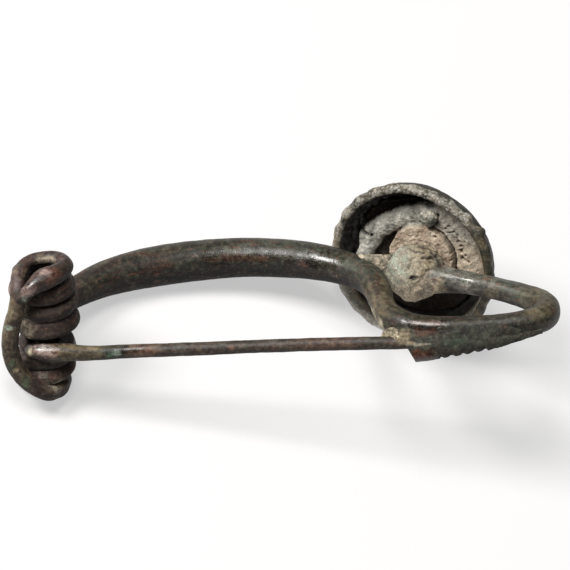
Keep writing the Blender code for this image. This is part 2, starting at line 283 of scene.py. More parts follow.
@dataclass
class Skin:
    """A closed mesh in the making, as rings of vertices.

    Attributes:
        places: Points in millimetres, of shape (rings, sides, 3).
        outward: Unit vectors out of the surface, of the same shape.
        laid_out: The points with the rod pulled straight along X, for streaks that follow the rod.
    """

    places: np.ndarray
    outward: np.ndarray
    laid_out: np.ndarray

    def flat(self) -> tuple[np.ndarray, np.ndarray, np.ndarray]:
        """Return places, outward and laid_out as one point a row."""
        return self.places.reshape(-1, 3), self.outward.reshape(-1, 3), self.laid_out.reshape(-1, 3)

    def faces(self) -> list[tuple[int, ...]]:
        """Join the rings by quads, and close each end by a fan on a middle vertex.

        Returns:
            The numbers of the vertices of each face.
        """
        count, sides = self.places.shape[:2]
        index = np.arange(count * sides).reshape(count, sides)
        beside = np.roll(index, -1, axis=1)
        quads = np.stack([index[:-1], beside[:-1], beside[1:], index[1:]], axis=-1).reshape(-1, 4)
        start, end = count * sides, count * sides + 1
        first = [(int(b), int(a), start) for a, b in zip(index[0], beside[0])]
        last = [(int(a), int(b), end) for a, b in zip(index[-1], beside[-1])]
        return [tuple(map(int, quad)) for quad in quads] + first + last

    def with_ends(self, values: np.ndarray) -> np.ndarray:
        """Add to values, one a vertex, those of the two middle vertices of the ends.

        Args:
            values: One value or row for each vertex of the rings.

        Returns:
            The values with those of the ends at their end.
        """
        rings = values.reshape(self.places.shape[0], self.places.shape[1], -1)
        ends = np.stack([rings[0].mean(0), rings[-1].mean(0)])
        return np.vstack([rings.reshape(-1, rings.shape[-1]), ends]).reshape((-1,) + values.shape[1:])


def normals_of(places: np.ndarray) -> np.ndarray:
    """Unit vectors out of a skin of rings that run round a tube, by its own mesh.

    Args:
        places: Points of shape (rings, sides, 3).

    Returns:
        Unit vectors of the same shape.
    """
    along = np.gradient(places, axis=0)
    around = np.roll(places, -1, axis=1) - np.roll(places, 1, axis=1)
    out = np.cross(around, along)
    return out / np.maximum(np.linalg.norm(out, axis=2, keepdims=True), 1e-9)


def make_piece(
    name: str, skin: Skin, coat: Coat, material: bpy.types.Material, node: str
) -> bpy.types.Object:
    """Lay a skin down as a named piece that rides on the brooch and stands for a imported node.

    Args:
        name: The piece's name.
        skin: Its surface in the brooch's frame.
        coat: Its colours and traits, one a vertex of the rings.
        material: Its finish.
        node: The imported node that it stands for.

    Returns:
        The object.
    """
    places, _, laid_out = skin.flat()
    turned = skin.with_ends(places) * MM @ np.array(LYING.to_3x3()).T + np.array(LYING.translation)
    turned[:, 2] = np.maximum(turned[:, 2], 0.0)
    mesh = bpy.data.meshes.new(name)
    mesh.from_pydata(turned.tolist(), [], skin.faces())
    tidy = bmesh.new()
    tidy.from_mesh(mesh)
    bmesh.ops.recalc_face_normals(tidy, faces=tidy.faces)
    tidy.to_mesh(mesh)
    tidy.free()
    straight = mesh.attributes.new("laid_out", "FLOAT_VECTOR", "POINT")
    straight.data.foreach_set("vector", skin.with_ends(laid_out).astype(np.float32).ravel())
    opaque = np.concatenate([coat.colour, np.ones((len(places), 1))], axis=1)
    patina = mesh.attributes.new("patina", "FLOAT_COLOR", "POINT")
    patina.data.foreach_set("color", skin.with_ends(opaque).astype(np.float32).ravel())
    for trait, values in coat.traits.items():
        share = mesh.attributes.new(trait.value, "FLOAT", "POINT")
        share.data.foreach_set("value", skin.with_ends(values).astype(np.float32).ravel())
    mesh.shade_smooth()
    mesh.materials.append(material)
    piece = bpy.data.objects.new(name, mesh)
    bpy.context.scene.collection.objects.link(piece)
    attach(piece, "root")
    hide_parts(node)
    LOG.info("%s: %d vertices", name, len(mesh.vertices))
    return piece


# ---------------------------------------------------------------------------------------------------------
# Finishes
# ---------------------------------------------------------------------------------------------------------


def to_linear(colour: str) -> tuple[float, float, float, float]:
    """Turn an sRGB hex colour such as "#8a6f4c" into a linear one.

    Args:
        colour: The hex colour.

    Returns:
        Linear red, green and blue, and an alpha of 1.
    """
    shares = [int(colour[start : start + 2], 16) / 255 for start in (1, 3, 5)]
    red, green, blue = (c / 12.92 if c <= 0.04045 else ((c + 0.055) / 1.055) ** 2.4 for c in shares)
    return red, green, blue, 1.0


def add_node(
    tree: bpy.types.NodeTree,
    kind: str,
    settings: dict[str, Any] | None = None,
    inputs: dict[str | int, Any] | None = None,
) -> bpy.types.Node:
    """Add a shader node with its settings and links.

    Args:
        tree: The material's node tree.
        kind: The node's type name.
        settings: Properties of the node itself.
        inputs: A value, or the output socket to link, for each input by name or number.

    Returns:
        The node.
    """
    node = tree.nodes.new(kind)
    for key, value in (settings or {}).items():
        setattr(node, key, value)
    for key, value in (inputs or {}).items():
        if isinstance(value, bpy.types.NodeSocket):
            tree.links.new(value, node.inputs[key])
        else:
            node.inputs[key].default_value = value
    return node


class Recipe:
    """A material in the making: its node tree and the few steps that the finishes share."""

    def __init__(self, name: str) -> None:
        """Start a material with a Principled shader and coordinates in millimetres.

        Args:
            name: The material's name.
        """
        self.material = bpy.data.materials.new(name)
        self.material.use_nodes = True
        self.tree = self.material.node_tree
        self.shader = self.tree.nodes["Principled BSDF"]
        coordinates = add_node(self.tree, "ShaderNodeTexCoord")
        inputs = {"Vector": coordinates.outputs["Object"], "Scale": (1 / MM,) * 3}
        scaled = add_node(self.tree, "ShaderNodeMapping", inputs=inputs)
        self.place = scaled.outputs["Vector"]

    def read(self, name: str, output: str) -> bpy.types.NodeSocket:
        """One of the values kept at the mesh's vertices."""
        return add_node(self.tree, "ShaderNodeAttribute", {"attribute_name": name}).outputs[output]

    def noise(
        self, size_mm: float, detail: float = 4.0, roughness: float = 0.6, stretch: Triple | None = None
    ) -> bpy.types.NodeSocket:
        """Noise with lumps of a size in millimetres.

        Args:
            size_mm: Size of the largest lumps.
            detail: How many finer layers it has.
            roughness: How strong they are.
            stretch: If given, the noise follows the rod as if pulled straight, with lumps this much longer.

        Returns:
            The value socket, mostly 0.3 to 0.7.
        """
        vector = self.place
        if stretch is not None:
            squeeze = tuple(1 / times for times in stretch)
            inputs = {"Vector": self.read("laid_out", "Vector"), "Scale": squeeze}
            along = add_node(self.tree, "ShaderNodeMapping", inputs=inputs)
            vector = along.outputs["Vector"]
        inputs = {"Vector": vector, "Scale": 1 / size_mm, "Detail": detail, "Roughness": roughness}
        return add_node(self.tree, "ShaderNodeTexNoise", inputs=inputs).outputs["Fac"]

    def math(self, operation: str, first: Any, second: Any = 0.0) -> bpy.types.NodeSocket:
        """One sum, product or the like of two values or sockets."""
        inputs = {0: first, 1: second}
        return add_node(self.tree, "ShaderNodeMath", {"operation": operation}, inputs).outputs[0]

    def spread(
        self, value: Any, low: float, high: float, start: float = 0.0, end: float = 1.0
    ) -> bpy.types.NodeSocket:
        """Bring values smoothly from one range onto another, and hold them at its ends beyond.

        Args:
            value: A number or a socket.
            low: Lower end of the first range.
            high: Upper end of the first range.
            start: What low becomes.
            end: What high becomes.

        Returns:
            The socket of the result.
        """
        smooth = {"interpolation_type": "SMOOTHSTEP"}
        limits = {"Value": value, "From Min": low, "From Max": high, "To Min": start, "To Max": end}
        return add_node(self.tree, "ShaderNodeMapRange", smooth, limits).outputs["Result"]

    def mix(self, share: Any, under: Any, over: Any, how: str = "MIX") -> bpy.types.NodeSocket:
        """Lay one colour over another.

        Args:
            share: How much of it is laid.
            under: The lower colour.
            over: The upper colour.
            how: How the two mix.

        Returns:
            The socket of the colour.
        """
        colours = {0: share, 6: under, 7: over}
        settings = {"data_type": "RGBA", "blend_type": how}
        return add_node(self.tree, "ShaderNodeMix", settings, colours).outputs[2]

    def shade(self, colour: Any, times: Any) -> bpy.types.NodeSocket:
        """Make a colour darker or lighter.

        Args:
            colour: The colour.
            times: The factor for red, green and blue.

        Returns:
            The socket of the colour.
        """
        parts = {"Red": times, "Green": times, "Blue": times}
        grey = add_node(self.tree, "ShaderNodeCombineColor", inputs=parts)
        return self.mix(1.0, colour, grey.outputs["Color"], "MULTIPLY")

    def bump(
        self, height: Any, depth_mm: float, under: bpy.types.NodeSocket | None = None
    ) -> bpy.types.NodeSocket:
        """Raise the surface, over another bump if given.

        Args:
            height: A height of 0 to 1.
            depth_mm: How deep that is in millimetres.
            under: The bump below it.

        Returns:
            The normal.
        """
        inputs = {"Height": height, "Distance": depth_mm * MM, "Strength": 1.0}
        if under is not None:
            inputs["Normal"] = under
        return add_node(self.tree, "ShaderNodeBump", inputs=inputs).outputs["Normal"]

    def finish(
        self, colour: Any, roughness: Any, normal: Any, constants: dict[str, float]
    ) -> bpy.types.Material:
        """Join the colour, roughness and normal to the shader, and set its constants.

        Args:
            colour: Socket of the colour.
            roughness: Socket of the roughness.
            normal: Socket of the normal.
            constants: Values of the shader's own inputs, by name.

        Returns:
            The material.
        """
        for name, value in (("Base Color", colour), ("Roughness", roughness), ("Normal", normal)):
            self.tree.links.new(value, self.shader.inputs[name])
        for name, value in constants.items():
            self.shader.inputs[name].default_value = value
        return self.material


@dataclass(frozen=True)
class PatinatedBronze:
    """Wrought bronze, long buried: a dark mineral patina, smooth enough to gleam.

    The colours vary in streaks along the rod, copper red shows in flecks where the dark skin is thin,
    and fine pits and hammer lines break the gleam up; the pale crusts stay dull.

    Attributes:
        name: The material's name.
        cloud_mm: Size of the brown clouds in the skin.
        mottle_mm: Size of the grey green mottling.
        speck_mm: Size of the finest specks and pits.
        streak: Length and width of the streaks that follow the rod.
        fleck: The same of the copper flecks.
        hammer_line: The same of the lines across the rod.
    """

    name: str = "wrought bronze, dark glossy patina"
    cloud_mm: float = 2.4
    mottle_mm: float = 0.8
    speck_mm: float = 0.26  # the grains of a patina are under 0.1 mm, drawn coarser so that they show
    streak: Triple = (6.0, 0.8, 0.8)
    fleck: Triple = (2.2, 0.4, 0.4)
    hammer_line: Triple = (0.17, 1.1, 1.1)

    def build(self) -> bpy.types.Material:
        """Make the finish.

        Returns:
            Its material.
        """
        r = Recipe(self.name)
        mottle = r.noise(self.mottle_mm, 5.0, 0.62)
        specks = r.noise(self.speck_mm, 3.0, 0.65)
        clouds = r.noise(self.cloud_mm, 3.0)
        streaks = r.noise(1.0, 4.0, 0.6, self.streak)
        flecks = r.noise(1.0, 4.0, 0.6, self.fleck)
        lines = r.noise(1.0, 3.0, 0.6, self.hammer_line)
        ragged = r.math("ADD", r.read(Trait.CRUST.value, "Fac"), r.math("SUBTRACT", specks, 0.5))
        crust = r.spread(ragged, 0.3, 0.6)
        skin = r.read("patina", "Color")
        skin = r.mix(r.spread(clouds, 0.44, 0.62, 0.0, 0.45), skin, to_linear(Patina.UMBER.value))
        skin = r.mix(r.spread(flecks, 0.55, 0.67, 0.0, 0.75), skin, to_linear(Patina.COPPER.value))
        skin = r.mix(r.spread(mottle, 0.54, 0.7, 0.0, 0.5), skin, to_linear(Patina.GREY_GREEN.value))
        skin = r.mix(r.spread(specks, 0.62, 0.76, 0.0, 0.35), skin, to_linear(Patina.SAND.value))
        skin = r.mix(r.math("MULTIPLY", crust, 0.85), skin, r.read("patina", "Color"))
        tone = r.math("ADD", r.math("MULTIPLY", mottle, 0.5), r.math("MULTIPLY", streaks, 0.3))
        tone = r.math("ADD", tone, r.math("MULTIPLY", specks, 0.2))
        skin = r.shade(skin, r.spread(tone, 0.39, 0.61, 0.3, 1.4))
        polish = r.read(Trait.POLISH.value, "Fac")
        uneven = r.spread(specks, 0.35, 0.65, -0.07, 0.09)
        worn = r.math("ADD", r.spread(polish, -1.0, 1.0, 0.82, 0.2), uneven)
        dull = r.math("ADD", worn, r.math("MULTIPLY", crust, 0.35))
        relief = r.spread(polish, 0.0, 1.0, 1.0, 0.35)
        normal = r.bump(r.math("MULTIPLY", specks, relief), 0.03)
        normal = r.bump(r.math("MULTIPLY", mottle, relief), 0.07, normal)
        striated = r.math("MULTIPLY", lines, r.read(Trait.STRIATION.value, "Fac"))
        normal = r.bump(striated, 0.05, normal)
        return r.finish(skin, dull, normal, {"Metallic": 0.0, "Specular IOR Level": 0.45})


@dataclass(frozen=True)
class CrustedBronze:
    """Cast bronze under a granular corrosion crust, dull but for rubbed spots.

    The eye sees mottled beige, grey and green, with pale grit where the crust is thickest.

    Attributes:
        name: The material's name.
        grain_mm: Size of the grit.
        mottle_mm: Size of the mottling.
    """

    name: str = "cast bronze, granular crust"
    grain_mm: float = 0.3  # a crust's finer grains are nearer 0.1 mm, drawn coarser so that they show
    mottle_mm: float = 1.1

    def build(self) -> bpy.types.Material:
        """Make the finish.

        Returns:
            Its material.
        """
        r = Recipe(self.name)
        mottle = r.noise(self.mottle_mm, 5.0, 0.62)
        grit = r.noise(self.grain_mm, 3.0, 0.7)
        skin = r.read("patina", "Color")
        crust = r.read(Trait.CRUST.value, "Fac")
        skin = r.mix(r.spread(mottle, 0.5, 0.66, 0.0, 0.45), skin, to_linear(Patina.OLIVE.value))
        pale = r.math("MULTIPLY", r.spread(grit, 0.58, 0.74, 0.0, 0.5), crust)
        skin = r.mix(pale, skin, to_linear(Patina.CHALK.value))
        tone = r.math("ADD", r.math("MULTIPLY", mottle, 0.4), r.math("MULTIPLY", grit, 0.6))
        skin = r.shade(skin, r.spread(tone, 0.36, 0.62, 0.45, 1.35))
        dull = r.math("ADD", r.spread(mottle, 0.4, 0.6, 0.35, 0.6), r.math("MULTIPLY", crust, 0.3))
        normal = r.bump(grit, 0.08)
        normal = r.bump(mottle, 0.12, normal)
        return r.finish(skin, dull, normal, {"Metallic": 0.0, "Specular IOR Level": 0.45})


@dataclass(frozen=True)
class DriedBedding:
    """A lime and clay paste, dried and cracked: chalky, with fine dark grit and no gloss.

    Attributes:
        name: The material's name.
        lump_mm: Size of the pale lumps.
        grit_mm: Size of the grit.
    """

    name: str = "dried lime bedding"
    lump_mm: float = 1.0
    grit_mm: float = 0.24  # the paste's own grit is nearer 0.1 mm, drawn coarser so that it shows

    def build(self) -> bpy.types.Material:
        """Make the finish.

        Returns:
            Its material.
        """
        r = Recipe(self.name)
        lumps = r.noise(self.lump_mm, 5.0, 0.62)
        grit = r.noise(self.grit_mm, 3.0, 0.7)
        skin = r.read("patina", "Color")
        pale = r.math("MULTIPLY", r.spread(lumps, 0.54, 0.7, 0.0, 0.35), r.read(Trait.CRUST.value, "Fac"))
        skin = r.mix(pale, skin, to_linear(Patina.CHALK.value))
        tone = r.math("ADD", r.math("MULTIPLY", lumps, 0.5), r.math("MULTIPLY", grit, 0.5))
        skin = r.shade(skin, r.spread(tone, 0.36, 0.62, 0.55, 1.25))
        normal = r.bump(grit, 0.07)
        normal = r.bump(lumps, 0.1, normal)
        dull = r.spread(grit, 0.3, 0.7, 0.75, 0.95)
        return r.finish(skin, dull, normal, {"Metallic": 0.0, "Specular IOR Level": 0.2})


@dataclass(frozen=True)
class OpalFloor:
    """Sanded opal acrylic, lit a little from below.

    It is plain and pale, and keeps the shadows on it soft and light.

    Attributes:
        name: The material's name.
        colour: Its colour as sRGB hex.
        glow: Strength of the light from below.
    """

    name: str = "sanded opal acrylic"
    colour: str = "#a09f9f"
    glow: float = 0.5

    def build(self) -> bpy.types.Material:
        """Make the finish.

        Returns:
            Its material.
        """
        material = bpy.data.materials.new(self.name)
        material.use_nodes = True
        shader = material.node_tree.nodes["Principled BSDF"]
        shader.inputs["Base Color"].default_value = to_linear(self.colour)
        shader.inputs["Roughness"].default_value = 0.85
        shader.inputs["Specular IOR Level"].default_value = 0.1
        shader.inputs["Emission Color"].default_value = to_linear("#ffffff")
        shader.inputs["Emission Strength"].default_value = self.glow
        return material


# ---------------------------------------------------------------------------------------------------------
# The wire: foot, bow, spring, chord and pin
# ---------------------------------------------------------------------------------------------------------


@dataclass
class WroughtWire:
    """The one length of bronze that is foot, bow, spring, chord and pin.

    Attributes:
        step: Spacing of the rings of vertices.
        bow_sides: Vertices round the bow; the spring and the pin have half as many.
        softened_over: Points over which the change from one pass of a coil to the next is softened.
        wire_radius: Radius of the spring's wire.
        coil_squareness: Squareness of the turns' section, where 2 is round.
        drawn_squareness: The same of the leaning turn, the chord and the pin.
        spring_fade: x where the spring's looks begin to give way to the bow's, and where they are gone.
        coil_centre_x: The spring's axis at its middle.
        coil_bend: How fast the axis bends away from there.
        bow_passes: Angle in degrees, y and radius where the turns beside the bow pass.
        pin_passes: The same of the turns beside the pin.
        foot_and_bow: x, y, z, radius and squareness of the section from the knob to the spring.
        leaning_turn: x, y, z and radius of the outermost turn, which leans over and crosses the chord.
        chord: x, y, z and radius of the stretch outside the turns, between the ends of the spring.
        pin: x, y, z and radius of the pin.
        pin_stops: Colours along the pin, each as x and share from its root to its point.
        stains: Spots of colour, some of them painted highlights and some painted shade.
        crusts: Spots of thick, dull crust; two clay ones also paint the light on the turns' lit left ends.
        polished: Spots rubbed until they gleam.
    """

    step: float = 0.26
    bow_sides: int = 72
    softened_over: int = 9
    wire_radius: float = 1.46
    coil_squareness: float = 4.0
    drawn_squareness: float = 2.1
    spring_fade: tuple[float, float] = (3.0, 8.0)
    coil_centre_x: float = 0.2
    coil_bend: float = 0.012
    bow_passes: Stations = ((175.0, -0.4, 3.5), (1235.0, -9.17, 3.5))
    pin_passes: Stations = (
        (315.0, 9.9, 3.3),
        (360.0, 10.05, 3.3),
        (540.0, 8.6, 3.3),
        (630.0, 7.5, 3.2),
        (720.0, 6.6, 3.2),
        (900.0, 5.3, 3.5),
        (990.0, 4.4, 3.0),
        (1080.0, 3.45, 3.1),
        (1170.0, 2.6, 3.3),
        (1260.0, 2.4, 3.2),
    )
    foot_and_bow: Stations = (
        (59.5, 0.0, 18.2, 2.95, 2.0),
        (62.2, 0.0, 17.3, 2.50, 2.1),
        (64.8, 0.0, 16.5, 2.00, 2.4),
        (68.0, 0.0, 15.5, 1.70, 2.8),
        (72.3, 0.0, 13.5, 1.66, 3.0),
        (76.2, 0.0, 11.2, 1.76, 3.0),
        (79.1, 0.0, 8.6, 2.02, 2.7),
        (80.3, 0.0, 5.6, 2.22, 2.4),
        (79.1, 0.0, 2.7, 2.18, 2.3),
        (76.0, 0.0, 1.2, 1.90, 2.2),
        (71.5, 0.09, 0.55, 1.70, 2.2),
        (66.0, 0.27, 0.17, 1.80, 2.2),
        (61.0, 0.36, 0.12, 2.00, 2.2),
        (57.4, 0.18, 1.1, 2.15, 2.2),
        (54.9, 0.0, 4.0, 2.05, 2.2),
        (53.8, 0.0, 8.5, 1.98, 2.2),
        (53.1, 0.0, 13.0, 2.25, 2.1),
        (51.6, 0.0, 17.0, 2.50, 2.0),
        (48.6, 0.0, 20.4, 2.75, 2.0),
        (44.0, 0.0, 22.9, 2.95, 2.0),
        (38.0, 0.0, 24.4, 3.10, 2.0),
        (30.0, 0.0, 24.6, 3.20, 2.0),
        (21.5, 0.0, 22.9, 3.30, 2.0),
        (14.8, 0.0, 20.4, 3.20, 2.0),
        (9.3, 0.0, 17.1, 2.90, 2.0),
        (5.2, 0.0, 13.0, 2.50, 2.0),
        (2.0, 0.3, 8.7, 1.90, 2.0),
        (-0.7, 0.4, 5.1, 1.50, 2.0),
        (-2.5, 0.0, 2.9, 1.42, 2.4),
    )
    leaning_turn: Stations = (
        (-4.4, -9.05, -0.9, 1.30),
        (-4.85, -8.1, -2.8, 1.34),
        (-4.4, -7.65, -4.2, 1.30),
        (-3.9, -8.15, -5.8, 1.12),
        (-2.65, -9.65, -6.0, 1.20),
        (-0.65, -10.75, -4.7, 1.76),
        (1.35, -11.05, -3.3, 1.58),
        (2.85, -11.3, -1.1, 1.40),
        (2.15, -11.6, 0.7, 1.22),
        (0.2, -11.6, 1.5, 1.10),
        (-2.2, -11.5, 0.9, 1.06),
        (-3.75, -11.05, -0.4, 1.08),
        (-4.6, -10.3, -2.4, 1.13),
        (-4.65, -9.1, -4.2, 1.20),
    )
    chord: Stations = (
        (-4.7, -7.45, -5.1, 1.25),
        (-5.0, -5.3, -5.5, 1.33),
        (-5.5, -3.2, -5.0, 1.36),
        (-5.9, -0.5, -4.9, 1.40),
        (-5.9, 1.6, -4.8, 1.42),
        (-5.4, 4.0, -4.8, 1.42),
        (-4.3, 6.0, -5.0, 1.42),
        (-2.4, 8.0, -5.0, 1.42),
        (-0.1, 9.6, -4.3, 1.42),
    )
    pin: Stations = (
        (-2.45, 3.25, -1.5, 1.30),
        (-2.3, 2.85, -3.0, 1.22),
        (-1.75, 2.5, -3.95, 1.28),
        (-0.6, 2.45, -4.35, 1.45),
        (1.2, 2.45, -4.4, 1.50),
        (3.2, 2.5, -4.3, 1.42),
        (7.0, 2.7, -4.15, 1.2),
        (14.0, 2.49, -3.82, 1.12),
        (24.5, 2.3, -3.4, 1.08),
        (40.6, 1.93, -2.74, 1.06),
        (56.6, 1.785, -2.24, 1.05),
        (63.0, 1.68, -2.14, 0.90),
        (67.5, 1.55, -2.2, 0.55),
    )
    pin_stops: Sequence[tuple[Patina, Sequence[tuple[float, float]]]] = (
        (Patina.KHAKI, ((0.0, 0.5), (3.0, 0.6), (8.0, 0.8), (9.5, 0.1), (60.0, 0.1))),
        (Patina.MOSS, ((8.0, 0.0), (10.0, 0.6), (20.0, 0.5), (40.0, 0.3))),
        (
            Patina.ROSE,
            (
                (12.0, 0.0),
                (14.0, 0.55),
                (17.0, 0.5),
                (19.5, 0.0),
                (38.0, 0.0),
                (42.0, 0.4),
                (48.0, 0.35),
                (52.0, 0.0),
            ),
        ),
        (Patina.MAUVE, ((17.0, 0.0), (21.0, 0.35), (37.0, 0.35), (40.0, 0.1), (52.0, 0.2))),
    )
    stains: Sequence[Dab] = (
        Dab(Patina.COPPER, (31.0, -1.4, 21.7), (6.5, 0.6, 0.7), 0.5),
        Dab(Patina.COPPER, (16.0, -3.0, 19.6), (5.0, 0.6, 0.7), 0.45),
        Dab(Patina.UMBER, (61.0, 0.2, -1.8), (4.4, 1.1, 1.0), 0.8),
        Dab(Patina.COPPER, (60.4, 0.0, -1.8), (3.2, 0.8, 0.8), 0.5),
        Dab(Patina.MOSS, (69.5, -0.2, -1.0), (5.0, 1.3, 1.3), 0.6),
        # Painted highlight: a lilac streak along the gleam on the foot.
        Dab(Patina.LILAC_HIGHLIGHT, (60.8, -1.2, -1.2), (3.4, 0.5, 0.7), 0.6),
        Dab(Patina.COPPER, (53.0, -1.6, 11.0), (0.8, 0.9, 1.4), 0.6),
        Dab(Patina.COPPER, (1.2, -11.6, -4.8), (2.4, 1.4, 1.6), 0.8),
        Dab(Patina.UMBER, (3.2, -11.6, -2.2), (1.5, 1.6, 1.6), 0.7),
        # Painted highlights on the leaning turn, here and in the next line.
        Dab(Patina.LILAC_HIGHLIGHT, (-0.5, -12.3, -5.3), (1.1, 0.8, 0.9), 0.85),
        Dab(Patina.LILAC_HIGHLIGHT, (-2.9, -9.8, -7.1), (2.0, 1.1, 1.0), 0.85),
        Dab(Patina.BLACK, (16.5, -1.6, 18.0), (6.0, 3.0, 2.6), 0.5),
        Dab(Patina.BLACK, (40.6, -0.4, 20.8), (4.5, 1.5, 1.4), 0.55),
        # Painted shade under the pin's curl, and in the next line under the pin's root.
        Dab(Patina.BLACK, (0.5, 10.9, -4.2), (3.6, 1.0, 1.6), 0.7),
        Dab(Patina.BLACK, (0.0, 3.5, -5.0), (4.5, 0.9, 1.1), 0.65),
        # Painted highlight on the left side of a turn.
        Dab(Patina.LILAC_HIGHLIGHT, (-5.7, -8.3, -3.4), (0.7, 1.4, 1.6), 0.8),
        Dab(Patina.SAND, (-5.0, -10.9, -2.0), (0.7, 1.4, 1.4), 0.4),
        Dab(Patina.EMERALD, (-4.4, -11.7, -1.3), (0.6, 0.6, 0.6), 0.35),
        # Painted highlight on a turn's left end; the next two are painted highlights on the pin's root.
        Dab(Patina.LILAC_HIGHLIGHT, (-1.9, -2.2, -3.9), (1.2, 0.9, 1.0), 0.5),
        Dab(Patina.LILAC_HIGHLIGHT, (-1.0, 1.6, -5.2), (3.0, 1.3, 1.4), 1.0),
        Dab(Patina.CHALK, (-0.8, 1.2, -5.2), (2.0, 0.7, 0.9), 0.45),
        # Painted shade on the hidden back of the last turn.
        Dab(Patina.BLACK, (-2.6, 3.2, 0.8), (1.8, 2.2, 2.2), 0.9),
        # Painted highlight on a turn's left end.
        Dab(Patina.LILAC_HIGHLIGHT, (-4.0, 4.0, -2.6), (1.0, 1.2, 1.2), 0.6),
        Dab(Patina.SAND, (-5.2, -5.4, -6.2), (1.0, 1.4, 1.2), 0.3),
        Dab(Patina.UMBER, (-4.7, -7.0, -6.2), (1.4, 1.3, 1.2), 0.5),
        Dab(Patina.EMERALD, (-5.9, 3.8, -5.8), (0.9, 1.1, 1.1), 0.5),
        Dab(Patina.EMERALD, (-3.4, 6.8, -6.2), (0.9, 1.3, 1.1), 0.4),
        # Painted highlight on the upper side of the pin's curl, here and in the next two lines.
        Dab(Patina.SAND, (0.6, 8.9, -5.2), (2.0, 0.7, 1.0), 0.2),
        Dab(Patina.KHAKI, (0.6, 8.8, -4.2), (3.4, 1.4, 1.6), 0.6),
        Dab(Patina.ASH, (0.6, 8.6, -4.6), (3.0, 1.0, 1.2), 0.35),
        Dab(Patina.EMERALD, (10.0, 2.6, -5.2), (1.1, 0.7, 0.8), 0.5),
        Dab(Patina.ROSE, (29.5, 1.5, -4.4), (0.7, 0.7, 0.7), 0.9),
        Dab(Patina.EMERALD, (69.0, -0.6, 15.0), (5.0, 1.6, 1.2), 0.25),
        Dab(Patina.KHAKI, (72.0, 0.2, 12.5), (2.0, 1.6, 1.2), 0.4),
        Dab(Patina.ROSE, (70.5, -1.4, 13.9), (1.2, 0.8, 0.8), 0.5),
    )
    crusts: Sequence[Dab] = (
        Dab(Patina.CLAY, (0.1, -11.9, 0.3), (2.6, 0.8, 1.0), 0.62),
        # Painted light on a turn's lit left end.
        Dab(Patina.CLAY, (-3.3, -4.6, -2.9), (1.0, 0.9, 1.0), 0.9),
        Dab(Patina.SAND, (-3.4, -10.6, -2.6), (0.8, 1.0, 1.6), 0.5),
        Dab(Patina.VERDIGRIS, (-3.5, -8.5, -6.9), (0.5, 0.6, 0.5), 0.7),
        # Painted light on a turn's lit left end.
        Dab(Patina.CLAY, (-3.1, -1.2, -3.0), (1.7, 2.0, 1.5), 1.0),
        Dab(Patina.VERDIGRIS, (-6.0, -2.8, -6.0), (0.8, 0.5, 1.3), 0.8),
        Dab(Patina.VERDIGRIS, (-5.2, -3.0, -6.6), (0.7, 0.3, 0.8), 0.65),
        Dab(Patina.SAND, (-5.0, 4.7, -6.3), (0.7, 0.35, 0.8), 0.5),
        Dab(Patina.CREAM, (-2.9, 2.4, -4.4), (0.9, 1.2, 1.2), 0.8),
        Dab(Patina.VERDIGRIS, (11.2, 2.3, -5.1), (0.9, 0.5, 0.6), 0.6),
        Dab(Patina.CREAM, (52.4, 0.6, 5.5), (0.9, 1.3, 2.6), 0.6),
        Dab(Patina.CREAM, (53.8, 0.9, 2.6), (1.1, 1.3, 1.5), 0.7),
        Dab(Patina.SAND, (55.4, 1.4, 0.7), (1.6, 1.2, 1.6), 0.7),
        Dab(Patina.SAND, (57.0, 1.0, -2.6), (1.5, 1.0, 0.9), 0.6),
        Dab(Patina.CLAY, (61.4, 0.2, 17.0), (2.8, 3.4, 3.4), 0.9),
        Dab(Patina.SAND, (63.4, 0.2, 16.6), (2.2, 2.8, 2.6), 0.45),
    )
    polished: Sequence[Dab] = (
        Dab(None, (45.5, -1.4, 20.6), (4.5, 2.2, 2.5), 1.0),
        Dab(None, (60.8, -1.0, -1.0), (4.6, 1.4, 1.3), 1.15),
        Dab(None, (66.8, -1.5, 14.6), (4.2, 1.2, 1.4), 1.0),
        Dab(None, (-0.6, 1.9, -5.5), (3.6, 1.8, 1.9), 0.72),
        Dab(None, (-2.6, -9.8, -7.1), (2.8, 1.8, 1.5), 0.6),
        Dab(None, (14.0, 1.9, -4.8), (3.5, 1.0, 1.0), 0.6),
        Dab(None, (31.0, -1.6, 22.0), (13.0, 1.5, 2.5), 0.6),
        Dab(None, (0.8, 8.6, -4.6), (3.0, 1.4, 1.6), 0.8),
    )

    def coil(self, passes: Stations) -> np.ndarray:
        """Wind wire about Y through its passes, each an angle in degrees, a y and a radius of the turn.

        Args:
            passes: The passes, in order.

        Returns:
            x, y, z, radius of the wire and squareness of each point.
        """
        known = np.array(passes)
        turned = math.radians(known[-1, 0] - known[0, 0])
        degrees = np.linspace(known[0, 0], known[-1, 0], round(turned * known[0, 2] / self.step) + 1)
        y, radius = (np.interp(degrees, known[:, 0], known[:, value]) for value in (1, 2))
        soft = np.ones(self.softened_over) / self.softened_over
        half = self.softened_over // 2
        for values in (y, radius):
            values[half:-half] = np.convolve(values, soft, "valid")
        angle = np.radians(degrees)
        x = self.coil_centre_x - self.coil_bend * y * y + radius * np.cos(angle)
        same = np.ones_like(x)
        values = [x, y, radius * np.sin(angle), self.wire_radius * same, self.coil_squareness * same]
        return np.stack(values, axis=1)

